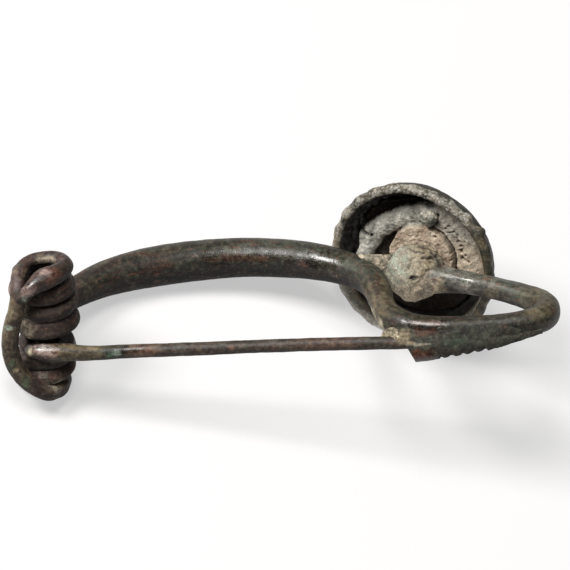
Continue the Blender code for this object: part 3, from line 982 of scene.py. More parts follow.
    def path(self) -> tuple[np.ndarray, int, int]:
        """Join the stretches of the wire into one path.

        Returns:
            The path as the coil gives it, and the numbers of the rings that end the bow and the spring.
        """
        bow = smooth_curve(self.foot_and_bow, self.step)
        leaning = [(*place, self.drawn_squareness) for place in (*self.leaning_turn, *self.chord)]
        pin = [(*place, self.drawn_squareness) for place in self.pin]
        bow_side = self.coil(self.bow_passes)
        pin_side = self.coil(self.pin_passes)
        middle = smooth_curve([tuple(bow_side[-1]), *leaning, tuple(pin_side[0])], self.step)[1:-1]
        end = smooth_curve([tuple(pin_side[-1]), *pin], self.step)[1:]
        tail = len(bow_side) // 6
        hidden = len(pin_side) - len(pin_side) // 12
        spring = [bow_side[tail:], middle, pin_side[:hidden]]
        whole = np.vstack([bow, bow_side[:tail], *spring, pin_side[hidden:], end])
        first = len(bow) + tail
        return whole, first, first + sum(map(len, spring))

    def sweep(self) -> tuple[Skin, int, int]:
        """Sweep the section along the path.

        Returns:
            The skin of the whole wire, and the numbers of the rings that end the bow and the spring.
        """
        path, bow_end, spring_end = self.path()
        centres = path[:, :3]
        tangents = np.gradient(centres, axis=0)
        tangents /= np.linalg.norm(tangents, axis=1, keepdims=True)
        normal = np.array((0.0, 1.0, 0.0))
        normals = []
        for tangent in tangents:
            normal = normal - tangent * (normal @ tangent)
            normal /= np.linalg.norm(normal)
            normals.append(normal)
        sideways = np.array(normals)
        across = np.cross(tangents, sideways)
        angles = 2 * math.pi * np.arange(self.bow_sides) / self.bow_sides
        cos, sin = np.cos(angles)[None, :], np.sin(angles)[None, :]
        power = path[:, 4:5]
        section = path[:, 3:4] * (np.abs(cos) ** power + np.abs(sin) ** power) ** (-1.0 / power)
        out = sideways[:, None, :] * cos[..., None] + across[:, None, :] * sin[..., None]
        places = centres[:, None, :] + out * section[..., None]
        gone = np.concatenate([[0.0], np.cumsum(np.linalg.norm(np.diff(centres, axis=0), axis=1))])
        pulled = np.broadcast_to(gone[:, None], section.shape)
        laid_out = np.stack([pulled, section * cos, section * sin], axis=-1)
        return Skin(places, normals_of(places), laid_out), bow_end, spring_end

    def coat(self, skin: Skin) -> Coat:
        """Colour the wire: olive on the bow and foot, aubergine on the spring, khaki and rose on the pin,
        with painted shade on its undersides and painted highlights on its lit spots.

        Args:
            skin: The whole wire.

        Returns:
            Its colours and traits.
        """
        places, outward, laid_out = skin.flat()
        x, y, z = places.T
        coat = Coat(places, Patina.OLIVE)
        # The upper side in the view gets less umber and more grey green, the lower side moss: partly patina,
        # partly painted light and shade.
        upper_side = blend(outward @ np.array(VIEWED_UP), -0.2, 0.5)
        drift = rough(laid_out * np.array((0.35, 1.0, 1.0)), 2.2, 3, 3.0)
        on_spring = 1.0 - blend(x, *self.spring_fade)
        on_pin = (1.0 - blend(z, -2.2, -1.6)) * blend(x, 0.0, 1.0) * within(y, 0.0, 4.3, 0.3)
        on_bow = blend(x, 5.0, 9.0) * blend(z, 12.0, 15.0) * (1 - blend(x, 56.0, 58.0))
        returning = blend(x, 58.0, 60.0) * blend(z, 6.0, 8.0)
        foot = blend(x, 56.0, 58.0) * (1 - blend(z, 2.5, 5.0)) * (1 - on_pin)
        coat.lay(Patina.UMBER, 0.45 + 0.5 * drift - 0.3 * upper_side)
        coat.lay(Patina.GREY_GREEN, on_bow * upper_side * (0.2 + 0.35 * blend(x, 26.0, 46.0) + 0.4 * drift))
        coat.lay(Patina.MOSS, on_bow * (1 - upper_side) * 0.4)
        coat.lay(Patina.COPPER, on_bow * (1 - blend(x, 18.0, 34.0)) * (0.1 + 0.6 * drift))
        rising = (1 - on_bow) * within(x, 51.0, 57.0, 1.5) * blend(z, 0.0, 3.0)
        coat.lay(Patina.KHAKI, rising * (0.35 + 0.3 * drift))
        coat.lay(Patina.GREY_GREEN, returning * (0.7 + 0.3 * drift))
        coat.lay(Patina.ASH, returning * (0.12 + 0.3 * drift) * (1 - blend(x, 72.0, 77.0)))
        coat.lay(Patina.KHAKI, blend(x, 75.0, 78.0) * (0.3 + 0.4 * drift))
        coat.lay(Patina.MOSS, foot * (1 - upper_side) * 0.7)
        coat.lay(Patina.AUBERGINE, on_spring * (0.85 + 0.2 * drift))
        chord = on_spring * (1 - blend(x, -3.4, -2.4)) * (1 - blend(z, -3.8, -2.8))
        chord = chord * within(y, -7.0, 11.0, 2.0)
        coat.lay(Patina.KHAKI, chord * (0.45 + 0.5 * drift))
        coat.lay(Patina.BLACK, chord * 0.55 * blend(grains(places, 0.9, 2.0), 0.45, 0.75))
        coat.lay(Patina.MAUVE, on_spring * (1 - blend(y, -9.5, -8.0)) * (0.4 + 0.5 * drift))
        for colour, stops in self.pin_stops:
            coat.lay(colour, on_pin * np.interp(x, *zip(*stops)) * (0.9 + 0.6 * drift))
        # Painted shade: black on the undersides in the view, and more on the lower half of the bow.
        under = blend(outward @ -np.array(VIEWED_UP), 0.0, 0.8) * (1 - foot)
        coat.lay(Patina.BLACK, under * (0.8 - 0.35 * on_pin - 0.2 * on_spring))
        coat.lay(Patina.BLACK, on_bow * blend(outward @ -np.array(VIEWED_UP), -0.1, 0.5) * 0.45)
        coat.lay(Patina.ASH, within(x, 62.5, 68.0, 2.0) * blend(z, 10.0, 12.0) * (0.15 + 0.4 * drift))
        coat.dab(self.stains)
        coat.dab(self.crusts, Trait.CRUST)
        coat.dab(self.polished, Trait.POLISH)
        coat.traits[Trait.POLISH] -= under * (1 - 0.5 * on_pin)
        turns = within(y, -8.6, 0.4, 0.8) + within(y, 4.8, 7.5, 0.6)
        coat.traits[Trait.POLISH] -= 0.7 * on_spring * turns * (1 - chord) * (1 - on_pin)
        struck = within(x, 26.0, 38.0, 5.0) * on_bow + within(x, 1.2, 4.5, 0.6) * on_pin
        struck = 0.15 + struck + 0.7 * on_spring * turns * (1 - chord)
        coat.traits[Trait.STRIATION] = np.clip(struck, 0.0, 1.0)
        return coat

    def build(self, finish: bpy.types.Material) -> list[bpy.types.Object]:
        """Make the bow, the spring and the pin as pieces of one wire.

        Args:
            finish: The bronze.

        Returns:
            The three pieces.
        """
        skin, bow_end, spring_end = self.sweep()
        coat = self.coat(skin)
        places, outward, laid_out = skin.flat()
        drawn = laid_out * np.array((0.5, 1.0, 1.0))
        height = 0.045 * rough(places, 2.6, 2, 1.0) + 0.02 * rough(drawn, 0.7, 3, 2.0)
        height += 0.03 * (1 - blend(places[:, 0], *self.spring_fade)) * (grains(places, 0.7) - 0.4)
        height *= 1 - 0.8 * np.clip(coat.traits[Trait.POLISH], 0.0, 1.0)
        height += coat.traits[Trait.CRUST] * (0.04 + 0.1 * rough(places, 0.5, 3, 4.0))
        moved = (places + outward * height[:, None]).reshape(skin.places.shape)
        worn = Skin(moved, skin.outward, skin.laid_out)
        pieces = []
        ends = (0, bow_end, spring_end, len(skin.places))
        for name, start, end in zip(("bow_and_foot", "spring", "pin"), ends, ends[1:]):
            rings = slice(start, min(end + 1, len(skin.places)))
            thinned = 1 if name == "bow_and_foot" else 2
            part = Skin(*(values[rings, ::thinned] for values in (worn.places, worn.outward, worn.laid_out)))
            kept = np.arange(len(places)).reshape(skin.places.shape[:2])[rings, ::thinned].ravel()
            pieces.append(make_piece(name, part, coat.only(kept), finish, "brooch_body"))
        return pieces


# ---------------------------------------------------------------------------------------------------------
# The catch and the knob
# ---------------------------------------------------------------------------------------------------------


@dataclass
class FoldedCatch:
    """The sheet that leaves the foot, folds round the pin and ends in a scalloped lip.

    Attributes:
        fold: x, y, z of the fold's middle and its reach from there to the lip.
        shape: The fold's outline from the foot to its hidden end, down and out, in parts of its reach.
        root: y and z of the sheet's root inside the foot; z is above the foot's own height.
        knee: The same of the place where the sheet leaves the foot.
        foot_height: The foot's height at some x.
        wall: Thickness of the sheet.
        wall_share: The most that the thickness is, as a share of the fold's reach.
        slant: How far the sheet's end draws back along the foot for each millimetre from its lip.
        slant_reach: The distance from the lip at which the end stops drawing back.
        scallops: First x, last x and pitch of the scallops.
        scallop_depth: Depth of the scallops.
        stains: Spots of colour.
        crusts: Spots of pale crust.
        step: Spacing of the rings of vertices.
        steps: Points along one face of the sheet's outline.
    """

    fold: Stations = (
        (59.2, 2.52, -2.54, 2.33),
        (61.6, 2.46, -2.44, 2.14),
        (63.2, 2.40, -2.30, 1.95),
        (66.5, 2.16, -2.22, 1.71),
        (69.0, 1.95, -2.10, 1.47),
        (71.5, 1.77, -1.96, 1.20),
        (75.0, 1.45, -1.22, 0.80),
        (79.6, 0.95, 0.55, 0.50),
    )
    shape: Sequence[tuple[float, float]] = (
        (-0.75, 0.55),
        (-0.3, 0.76),
        (0.3, 0.76),
        (0.75, 0.56),
        (1.0, 0.1),
        (0.9, -0.35),
        (0.5, -0.62),
        (-0.1, -0.68),
    )
    root: tuple[float, float] = (-0.9, -1.45)
    knee: tuple[float, float] = (-0.15, -2.3)
    foot_height: tuple[Sequence[float], Sequence[float]] = (
        (57.0, 66.0, 73.0, 79.0, 80.0),
        (0.9, 0.3, 0.7, 2.7, 4.6),
    )
    wall: float = 0.55
    wall_share: float = 0.38
    slant: float = 0.6
    slant_reach: float = 4.8
    scallops: Triple = (63.2, 70.7, 1.8)
    scallop_depth: float = 0.3
    stains: Sequence[Dab] = (
        Dab(Patina.UMBER, (60.4, 3.4, -4.8), (3.2, 2.2, 2.0), 0.9),
        Dab(Patina.COPPER, (60.4, 3.4, -4.6), (2.4, 1.6, 1.6), 0.6),
        Dab(Patina.UMBER, (66.0, 3.2, -3.6), (5.0, 1.2, 1.4), 0.75),
        Dab(Patina.COPPER, (60.4, 0.0, -2.1), (3.4, 0.7, 0.8), 0.45),
        Dab(Patina.EMERALD, (66.0, 0.8, -3.2), (2.6, 1.2, 1.2), 0.25),
        Dab(Patina.BLACK, (67.5, -0.1, -1.7), (6.0, 1.2, 1.3), 0.5),
        Dab(Patina.MOSS, (68.0, 1.2, -2.8), (6.0, 1.6, 1.2), 0.5),
    )
    crusts: Sequence[Dab] = (
        Dab(Patina.SAND, (57.4, 0.2, -2.2), (1.3, 1.4, 1.6), 0.5),
        Dab(Patina.SAND, (58.2, 1.2, -3.2), (1.2, 0.4, 1.2), 0.6),
        Dab(Patina.CREAM, (59.6, 1.35, -3.4), (2.4, 0.22, 1.0), 0.6),
    )
    step: float = 0.11
    steps: int = 90

    def scallop(self, x: float) -> float:
        """Work out how far the lip draws in between one rounded scallop and the next.

        Args:
            x: Place along the foot.

        Returns:
            The distance in millimetres.
        """
        first, last, pitch = self.scallops
        if not first <= x <= last:
            return 0.0
        return self.scallop_depth * abs(math.cos(math.pi * (x - first) / pitch)) ** 3

    def section(self, place: np.ndarray) -> np.ndarray:
        """Draw the closed outline of the sheet at one place, with its end slanting.

        Args:
            place: x, y and z of the fold's middle and its reach.

        Returns:
            The points of the outline, one a row.
        """
        x, y, z, reach = place
        down, out = np.array(VIEWED_DOWN[1:]), np.array(VIEWED_OUT[1:])
        middle = np.array((y, z))
        foot = np.array((0.0, np.interp(x, *self.foot_height)))
        fold = [middle + reach * (part_down * down + part_out * out) for part_down, part_out in self.shape]
        points = [(*point, 0.0) for point in (foot + self.root, foot + self.knee, *fold)]
        line = smooth_curve(points, 0.05)[:, :2]
        gone = np.concatenate([[0.0], np.cumsum(np.linalg.norm(np.diff(line, axis=0), axis=1))])
        evenly = np.linspace(0.0, gone[-1], self.steps)
        outer = np.stack([np.interp(evenly, gone, line[:, axis]) for axis in (0, 1)], axis=1)
        along = np.gradient(outer, axis=0)
        along /= np.linalg.norm(along, axis=1, keepdims=True)
        inward = np.stack([-along[:, 1], along[:, 0]], axis=1)
        inner = outer + inward * min(self.wall, self.wall_share * reach)
        closed = np.concatenate([outer, inner[::-1]])
        from_middle = (closed - middle) @ down
        closed = closed - down * (self.scallop(x) * blend(from_middle / reach, 0.2, 0.9))[:, None]
        fading = 1.0 - blend(x, 61.0, 68.0)
        drawn_back = fading * self.slant * np.clip(reach - from_middle, 0.0, self.slant_reach)
        return np.stack([x - drawn_back, closed[:, 0], closed[:, 1]], axis=1)

    def coat(self, places: np.ndarray) -> Coat:
        """Colour the sheet: red brown at the lip's corner, mossy green with pale grit on the rest.

        Args:
            places: Its vertices, one a row.

        Returns:
            Its colours and traits.
        """
        y = places[:, 1]
        mottled = rough(places, 1.3, 3, 9.0)
        coat = Coat(places, Patina.MOSS)
        coat.lay(Patina.GREY_GREEN, 0.25 + 0.6 * mottled)
        coat.lay(Patina.UMBER, 0.3 - 0.6 * mottled)
        coat.lay(Patina.KHAKI, 0.25 * blend(grains(places, 0.4, 3.0), 0.4, 0.8))
        coat.dab(self.stains)
        coat.dab(self.crusts)
        coat.lay(Patina.BLACK, 0.4 * blend(y, 4.0, 4.8))
        flap = 1 - blend(np.linalg.norm(places - np.array((60.4, 3.4, -4.6)), axis=1), 1.8, 3.2)
        coat.traits[Trait.CRUST] = (0.75 + 0.4 * mottled) * (1 - flap)
        coat.traits[Trait.POLISH] = 0.5 * flap
        return coat

    def build(self, finish: bpy.types.Material) -> bpy.types.Object:
        """Make the catch as one piece.

        Args:
            finish: The bronze.

        Returns:
            The piece.
        """
        places = np.stack([self.section(place) for place in smooth_curve(self.fold, self.step)])
        skin = Skin(places, normals_of(places), places)
        flat, outward, _ = skin.flat()
        smooth_corner = 1.0 - 0.7 * within(flat[:, 0], 58.0, 62.5, 1.0) * blend(flat[:, 1], 1.0, 2.0)
        height = 0.05 * rough(flat, 1.6, 2, 5.0) + 0.07 * smooth_corner * rough(flat, 0.55, 3, 6.0)
        moved = (flat + outward * height[:, None]).reshape(places.shape)
        worn = Skin(moved, skin.outward, skin.laid_out)
        return make_piece("catch_plate", worn, self.coat(flat), finish, "brooch_body")


@dataclass
class CrustedLump:
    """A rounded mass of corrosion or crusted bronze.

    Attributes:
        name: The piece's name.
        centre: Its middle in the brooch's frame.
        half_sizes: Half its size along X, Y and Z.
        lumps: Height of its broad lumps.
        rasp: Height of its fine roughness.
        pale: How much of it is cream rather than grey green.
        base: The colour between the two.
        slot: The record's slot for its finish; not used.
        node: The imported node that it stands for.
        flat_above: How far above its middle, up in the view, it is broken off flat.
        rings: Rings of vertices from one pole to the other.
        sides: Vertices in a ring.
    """

    name: str
    centre: Triple
    half_sizes: Triple
    lumps: float = 0.35
    rasp: float = 0.12
    pale: float = 0.6
    base: Patina = Patina.SAND
    slot: Slot = Slot.BRONZE
    node: str = "brooch_body"
    flat_above: float = 99.0
    rings: int = 120
    sides: int = 180

    def skin(self) -> Skin:
        """Make an ellipsoid of rings about the brooch's Z axis.

        Returns:
            Its skin, with no relief yet.
        """
        polar = np.linspace(POLE_GAP, math.pi - POLE_GAP, self.rings)[:, None]
        around = np.linspace(0, 2 * math.pi, self.sides, endpoint=False)[None, :]
        level = np.sin(polar)
        ball = np.stack([level * np.cos(around), level * np.sin(around), np.cos(polar) + 0 * around], -1)
        places = ball * np.array(self.half_sizes) + np.array(self.centre)
        out = ball / np.array(self.half_sizes)
        return Skin(places, out / np.linalg.norm(out, axis=2, keepdims=True), places)

    def relief(self, places: np.ndarray) -> np.ndarray:
        """Height of the crust at each place."""
        fine = rough(places, 0.6, 3, 12.0) + grains(places, 0.5) - 0.4
        return self.lumps * rough(places, 2.4, 2, 11.0) + self.rasp * fine

    def coat(self, places: np.ndarray) -> Coat:
        """Mottle the lump with cream, sand and grey green.

        Args:
            places: Its vertices, one a row.

        Returns:
            Its colours and traits.
        """
        mottled = rough(places, 1.2, 3, 13.0)
        coat = Coat(places, self.base)
        coat.lay(Patina.CREAM, self.pale + 0.8 * mottled)
        coat.lay(Patina.GREY_GREEN, 0.3 - 0.9 * mottled)
        coat.traits[Trait.CRUST] = np.full(len(places), 0.8)
        return coat

    def build(self, finish: bpy.types.Material) -> bpy.types.Object:
        """Make the lump as one piece.

        Args:
            finish: Its material.

        Returns:
            The piece.
        """
        skin = self.skin()
        places, outward, _ = skin.flat()
        moved = places + outward * self.relief(places)[:, None]
        above = (moved - np.array(self.centre)) @ np.array(VIEWED_UP) - self.flat_above
        moved -= np.outer(np.maximum(above, 0.0), VIEWED_UP)
        worn = Skin(moved.reshape(skin.places.shape), skin.outward, skin.laid_out)
        return make_piece(self.name, worn, self.coat(places), finish, self.node)


@dataclass
class FootKnob(CrustedLump):
    """The encrusted knob that ends the foot over the disc's hollow.

    Its face looks out of the main view; right is along X, and down is down in that view.

    Attributes:
        flakes: Cracks in its face, each as points right and down of the middle of the face.
        flake_width: Half width of the cracks.
        flake_depth: Their depth.
        pit: Right, down, half width and depth of the pit in its face.
    """

    flakes: Sequence[Sequence[tuple[float, float]]] = (
        ((0.7, -4.5), (2.2, -3.8), (3.0, -2.8), (3.6, -2.3)),
        ((-0.5, -4.0), (0.3, -3.55), (1.1, -3.25), (1.6, -3.1)),
        ((1.2, -2.3), (2.3, -2.4), (3.0, -2.2)),
    )
    flake_width: float = 0.2
    flake_depth: float = 0.4
    pit: tuple[float, float, float, float] = (-0.2, 1.0, 0.85, 0.7)

    def on_face(self, places: np.ndarray) -> tuple[np.ndarray, np.ndarray, np.ndarray]:
        """Right, down and out of each place from the middle of the knob."""
        away = places - np.array(self.centre)
        return away[:, 0], away @ np.array(VIEWED_DOWN), away @ np.array(VIEWED_OUT)

    def cracked(self, places: np.ndarray) -> np.ndarray:
        """Find how near each place is to a crack in the face.

        Args:
            places: Points, one a row.

        Returns:
            1 on a crack and 0 away from it.
        """
        right, down, out = self.on_face(places)
        wandering = down + 0.25 * rough(places, 0.9, 2, 14.0)
        away = np.full(len(places), 9.0)
        for flake in self.flakes:
            for x, y in smooth_curve([(*point, 0.0) for point in flake], 0.15)[:, :2]:
                away = np.minimum(away, np.hypot(right - x, wandering - y))
        return blend(out, 0.0, 1.0) * (1 - blend(away, 0.3 * self.flake_width, 1.6 * self.flake_width))

    def relief(self, places: np.ndarray) -> np.ndarray:
        """Work out the height of the knob's crust, with its cracks and pit.

        Args:
            places: Points, one a row.

        Returns:
            Heights in millimetres.
        """
        right, down, out = self.on_face(places)
        face = blend(out, 0.0, 1.0)
        height = super().relief(places) - self.flake_depth * self.cracked(places)
        x, y, half, depth = self.pit
        hollow = np.hypot((right - x) / half, (down - y) / (0.6 * half)) + 0.35 * rough(places, 0.5, 2, 15.0)
        return height - depth * face * (1 - blend(hollow, 0.4, 1.1))

    def coat(self, places: np.ndarray) -> Coat:
        """Colour the knob: green white on its left, clay on its right, with painted shade in its cracks and
        pit.

        Args:
            places: Its vertices, one a row.

        Returns:
            Its colours and traits.
        """
        right, down, _ = self.on_face(places)
        mottled = rough(places, 1.1, 3, 16.0)
        x, y, half, _ = self.pit
        hollow = np.hypot((right - x) / half, (down - y) / (0.6 * half))
        coat = Coat(places, Patina.CLAY)
        coat.lay(Patina.CREAM, 0.1 + 0.6 * mottled)
        coat.lay(Patina.SAND, 0.4 - 0.6 * mottled)
        upper = 1 - blend(down, 1.0, 3.0)
        coat.lay(Patina.KHAKI, (0.3 + 0.8 * mottled) * within(right, -1.5, 3.5, 1.0) * upper)
        coat.lay(Patina.ASH, 0.4 * (1 - blend(right, -3.0, 1.5)) * upper)
        coat.lay(Patina.VERDIGRIS, (0.42 + 0.8 * mottled) * (1 - blend(right, -3.4, 1.2)) * upper)
        coat.lay(Patina.GREY_GREEN, 0.05 + 0.45 * blend(right, 1.0, 3.6) * upper - 0.6 * mottled)
        # Painted shade: black in the pit and umber in the cracks.
        coat.lay(Patina.BLACK, 0.85 * (1 - blend(hollow, 0.2, 1.0)))
        coat.lay(Patina.UMBER, 0.85 * self.cracked(places))
        coat.traits[Trait.CRUST] = np.full(len(places), 0.7)
        return coat


# ---------------------------------------------------------------------------------------------------------
# The disc and its bedding
# ---------------------------------------------------------------------------------------------------------


@dataclass
class DiscShape:
    """The hollow disc's sizes and place, which its cup and its bedding share.

    Attributes:
        centre: Middle of the opening.
        tilt_deg: Turn of the disc about Y.
        radius: Outer radius.
        rim_width: Width of the rim's face.
        depth: Depth from the rim to the outer pole.
        wall: Thickness at the pole.
        fullness: Exponent of the cup's full-shouldered curve.
    """

    centre: Triple = (58.6, 0.0, 22.0)
    tilt_deg: float = 22.0
    radius: float = 13.9
    rim_width: float = 1.4
    depth: float = 7.6
    wall: float = 1.25
    fullness: float = 2.6

    def place(self, right: np.ndarray, down: np.ndarray, depth: np.ndarray) -> np.ndarray:
        """Bring places on the disc into the brooch's frame.

        Args:
            right: How far right across the opening.
            down: How far down across it.
            depth: How far in from it.

        Returns:
            Points, with x, y and z along the last axis.
        """
        tilt = math.radians(self.tilt_deg)
        along = np.array((math.cos(tilt), 0.0, -math.sin(tilt)))
        inwards = np.array((math.sin(tilt), 0.0, math.cos(tilt)))
        sideways = np.array((0.0, 1.0, 0.0))
        across = np.array(self.centre) + right[..., None] * along + down[..., None] * sideways
        return across + depth[..., None] * inwards

    def curve(self, radius: Any, rim_radius: float, depth: float) -> Any:
        """Depth below the rim of a full-shouldered cup at a radius."""
        return depth * (1 - np.minimum(1.0, radius / rim_radius) ** self.fullness) ** (1 / self.fullness)

    def inner_rim(self) -> float:
        """Radius of the opening."""
        return self.radius - self.rim_width

    def inner_depth(self) -> float:
        """Depth of the hollow."""
        return self.depth - self.wall

    def wall_radius(self, depth: Any) -> Any:
        """Radius of the cup's inner wall at a depth below the rim."""
        share = np.minimum(1.0, depth / self.inner_depth())
        return self.inner_rim() * (1 - share**self.fullness) ** (1 / self.fullness)


@dataclass
class DiscCup:
    """The hollow bronze disc: a crusted rim towards the foot, and a beaded, grooved dome behind.

    Attributes:
        shape: The disc's sizes and place.
        segments: Vertices round the disc.
        step: Spacing of the rings of vertices.
        bead: Height and number of the border's beads.
        groove: Radius and depth of the groove on the dome.
        boss: Radius and height of the middle boss.
        nubs: Angle in degrees, height and half width of the lumps left on the border.
        bulges: Angle and half width in degrees of the places where the disc is wider, and by what share.
    """

    shape: DiscShape
    segments: int = 320
    step: float = 0.24
    bead: tuple[float, int] = (0.12, 24)
    groove: tuple[float, float] = (9.0, 0.35)
    boss: tuple[float, float] = (3.4, 0.8)
    nubs: Sequence[Triple] = (
        (-34.0, 1.0, 0.9),
        (-47.0, 0.45, 0.8),
        (-22.0, 0.35, 0.8),
        (-62.0, 0.3, 0.7),
        (38.0, 0.4, 1.0),
    )
    bulges: Sequence[Triple] = ((140.0, 32.0, 0.035), (-55.0, 30.0, -0.02))

    def out_of_round(self, degrees: np.ndarray) -> np.ndarray:
        """How much wider the disc is than its radius in each direction, as a share of it."""
        away = (((degrees - at + 180.0) % 360.0 - 180.0) / half for at, half, _ in self.bulges)
        return sum(bulge[2] * np.exp(-(apart**2)) for bulge, apart in zip(self.bulges, away))

    def profile(self) -> np.ndarray:
        """Draw the profile from the inner pole over the rim to the outer pole.

        Returns:
            Radius, depth and bead share, one point a row.
        """
        s = self.shape
        shares = (0.2, 0.4, 0.6, 0.75, 0.86, 0.94, 0.985)
        opening = s.inner_rim()
        inside = [(opening * n, float(s.curve(opening * n, opening, s.inner_depth())), 0.0) for n in shares]
        rim = [(opening + 0.02, 0.45, 0.0), (opening + 0.35, 0.06, 0.0), (s.radius - 0.45, 0.0, 0.3)]
        border = [(s.radius, 0.5, 1.0), (s.radius, 1.3, 1.0), (s.radius - 0.75, 2.0, 0.2)]
        groove, depth = self.groove
        radii = [s.radius * share for share in (0.93, 0.86, 0.78)]
        dome = [(radius, float(s.curve(radius, s.radius, s.depth)), 0.0) for radius in radii]
        cuts = ((0.7, 0.0), (0.35, 0.6), (0.0, 1.0), (-0.35, 0.6), (-0.7, 0.0), (-1.6, 0.0), (-3.0, 0.0))
        for away, cut in cuts:
            radius = groove + away
            dome.append((radius, float(s.curve(radius, s.radius, s.depth)) - cut * depth, 0.0))
        edge, height = self.boss
        foot = float(s.curve(edge, s.radius, s.depth))
        boss = [(edge + 0.6, foot, 0.0), (edge, foot + 0.35 * height, 0.0)]
        boss += [(edge - 0.5, foot + 0.8 * height, 0.0)]
        boss += [(edge * n, foot + height * (1.15 - 0.2 * n), 0.0) for n in (0.6, 0.3, 0.06)]
        return smooth_curve(inside + rim + border + dome + boss, self.step)

    def build(self, finish: bpy.types.Material) -> bpy.types.Object:
        """Make the cup as one piece.

        Args:
            finish: Its material.

        Returns:
            The piece.
        """
        s = self.shape
        profile = self.profile()
        angle = 2 * math.pi * np.arange(self.segments)[None, :] / self.segments
        radius, depth, beaded = (profile[:, i : i + 1] for i in range(3))
        height, count = self.bead
        swell = beaded * height * np.cos(count * angle)
        for degrees, tall, half in self.nubs:
            apart = s.radius * np.abs((angle - math.radians(degrees) + math.pi) % (2 * math.pi) - math.pi)
            swell = swell + tall * np.clip(beaded, 0.0, 1.0) * np.exp(-((apart / half) ** 2))
        wide = np.maximum(radius, 0.0) * (1 + self.out_of_round(np.degrees(angle))) + swell
        places = s.place(wide * np.cos(angle), wide * np.sin(angle), depth + 0 * angle)
        skin = Skin(places, normals_of(places), places)
        flat, outward, _ = skin.flat()
        r = (radius + 0 * angle).ravel()
        deep = (depth + 0 * angle).ravel()
        turn = np.degrees((angle + 0 * radius).ravel()) % 360
        on_rim = within(r, s.inner_rim() - 0.3, s.radius + 1, 0.5) * (1 - blend(deep, 1.6, 2.6))
        inside = (np.arange(len(r)) < self.segments * np.argmax(profile[:, 1] < 0.3)).astype(float)
        granular = on_rim * within(turn, 185.0, 330.0, 25.0)
        relief = 0.1 * rough(flat, 3.0, 2, 20.0) + 0.04 * rough(flat, 0.8, 3, 21.0)
        relief += 0.1 * granular * (grains(flat, 0.42) - 0.35) + 0.06 * on_rim * rough(flat, 0.6, 3, 22.0)
        relief *= 1.0 - 0.6 * inside * blend(deep, 2.0, 3.0)
        crusted = inside * within(turn, 165.0, 235.0, 12.0)
        relief += 0.5 * crusted * within(deep, 1.0, 4.5, 0.8) * grains(flat, 1.1)
        moved = (flat + outward * relief[:, None]).reshape(places.shape)
        worn = Skin(moved, skin.outward, skin.laid_out)
        coat = self.coat(flat, on_rim, inside, deep, turn)
        coat.traits[Trait.CRUST] = 0.8 * granular
        return make_piece("disc_cup_worn", worn, coat, finish, "disc_cup")

    def coat(
        self, places: np.ndarray, on_rim: np.ndarray, inside: np.ndarray, deep: np.ndarray, turn: np.ndarray
    ) -> Coat:
        """Colour the cup: pale on the left of its rim, green on the right, with painted shade down inside and
        painted light on its lower walls.

        Args:
            places: Points in the brooch's frame.
            on_rim: How much each belongs to the rim's face.
            inside: 1 for those in the hollow.
            deep: Their depth below the rim.
            turn: Their angle in degrees round the disc.

        Returns:
            The coat.
        """
        mottled = rough(places, 1.8, 3, 23.0)
        coat = Coat(places, Patina.OLIVE)
        coat.lay(Patina.UMBER, 0.3 + 0.6 * mottled)
        right = np.maximum(within(turn, 325.0, 395.0, 25.0), within(turn + 360, 325.0, 395.0, 25.0))
        coat.lay(Patina.KHAKI, on_rim * (0.5 - 0.25 * right + 0.5 * mottled))
        coat.lay(Patina.CLAY, on_rim * within(turn, 95.0, 205.0, 20.0) * (0.5 + 0.5 * mottled))
        grainy = blend(grains(places, 0.5), 0.2, 0.5)
        coat.lay(Patina.BLACK, on_rim * within(turn, 200.0, 320.0, 15.0) * (0.4 - 0.8 * mottled))
        coat.lay(Patina.ASH, on_rim * within(turn, 190.0, 310.0, 15.0) * (0.95 * grainy + 0.9 * mottled))
        # Painted shade: umber over all the hollow's inside.
        coat.lay(Patina.UMBER, 0.85 * inside)
        # Painted light: clay and chalk on the lower walls inside, where light falls.
        painted_lit_wall = inside * (within(turn, 20.0, 72.0, 12.0) + within(turn, 105.0, 160.0, 14.0))
        painted_lit_wall *= 1 - blend(deep, 1.8, 3.2)
        coat.lay(Patina.CLAY, painted_lit_wall * (0.8 + 0.5 * mottled))
        coat.lay(Patina.CHALK, painted_lit_wall * (1 - blend(turn, 60.0, 80.0)) * 0.8)
        # Painted shade: black deeper in the hollow and under its upper left rim.
        coat.lay(Patina.BLACK, inside * (0.35 + 0.5 * blend(deep, 1.6, 3.4)) * (1 - painted_lit_wall))
        coat.lay(Patina.BLACK, inside * within(turn, 165.0, 240.0, 12.0) * 0.7)
        # Painted light on the rim's lower left, and painted shade in the hollow beneath it.
        below = within(turn, 112.0, 158.0, 12.0)
        lit = np.maximum(on_rim, inside) * (1 - blend(deep, 0.6, 1.4))
        coat.lay(Patina.CHALK, below * lit * (0.8 + 0.5 * mottled))
        coat.lay(Patina.BLACK, below * inside * blend(deep, 1.2, 2.2))
        return coat


@dataclass(frozen=True)
class Crack:
    """A short crack in the bedding.

    Attributes:
        start: Right and down of one end.
        end: Right and down of the other.
        width: Its half width.
        depth: Its depth.
    """

    start: tuple[float, float]
    end: tuple[float, float]
    width: float = 0.22
    depth: float = 0.6


@dataclass(frozen=True)
class Pit:
    """A small hole in the bedding.

    Attributes:
        right: How far right across the opening it is.
        down: How far down.
        half: Its half width.
        depth: Its depth.
    """

    right: float
    down: float
    half: float
    depth: float


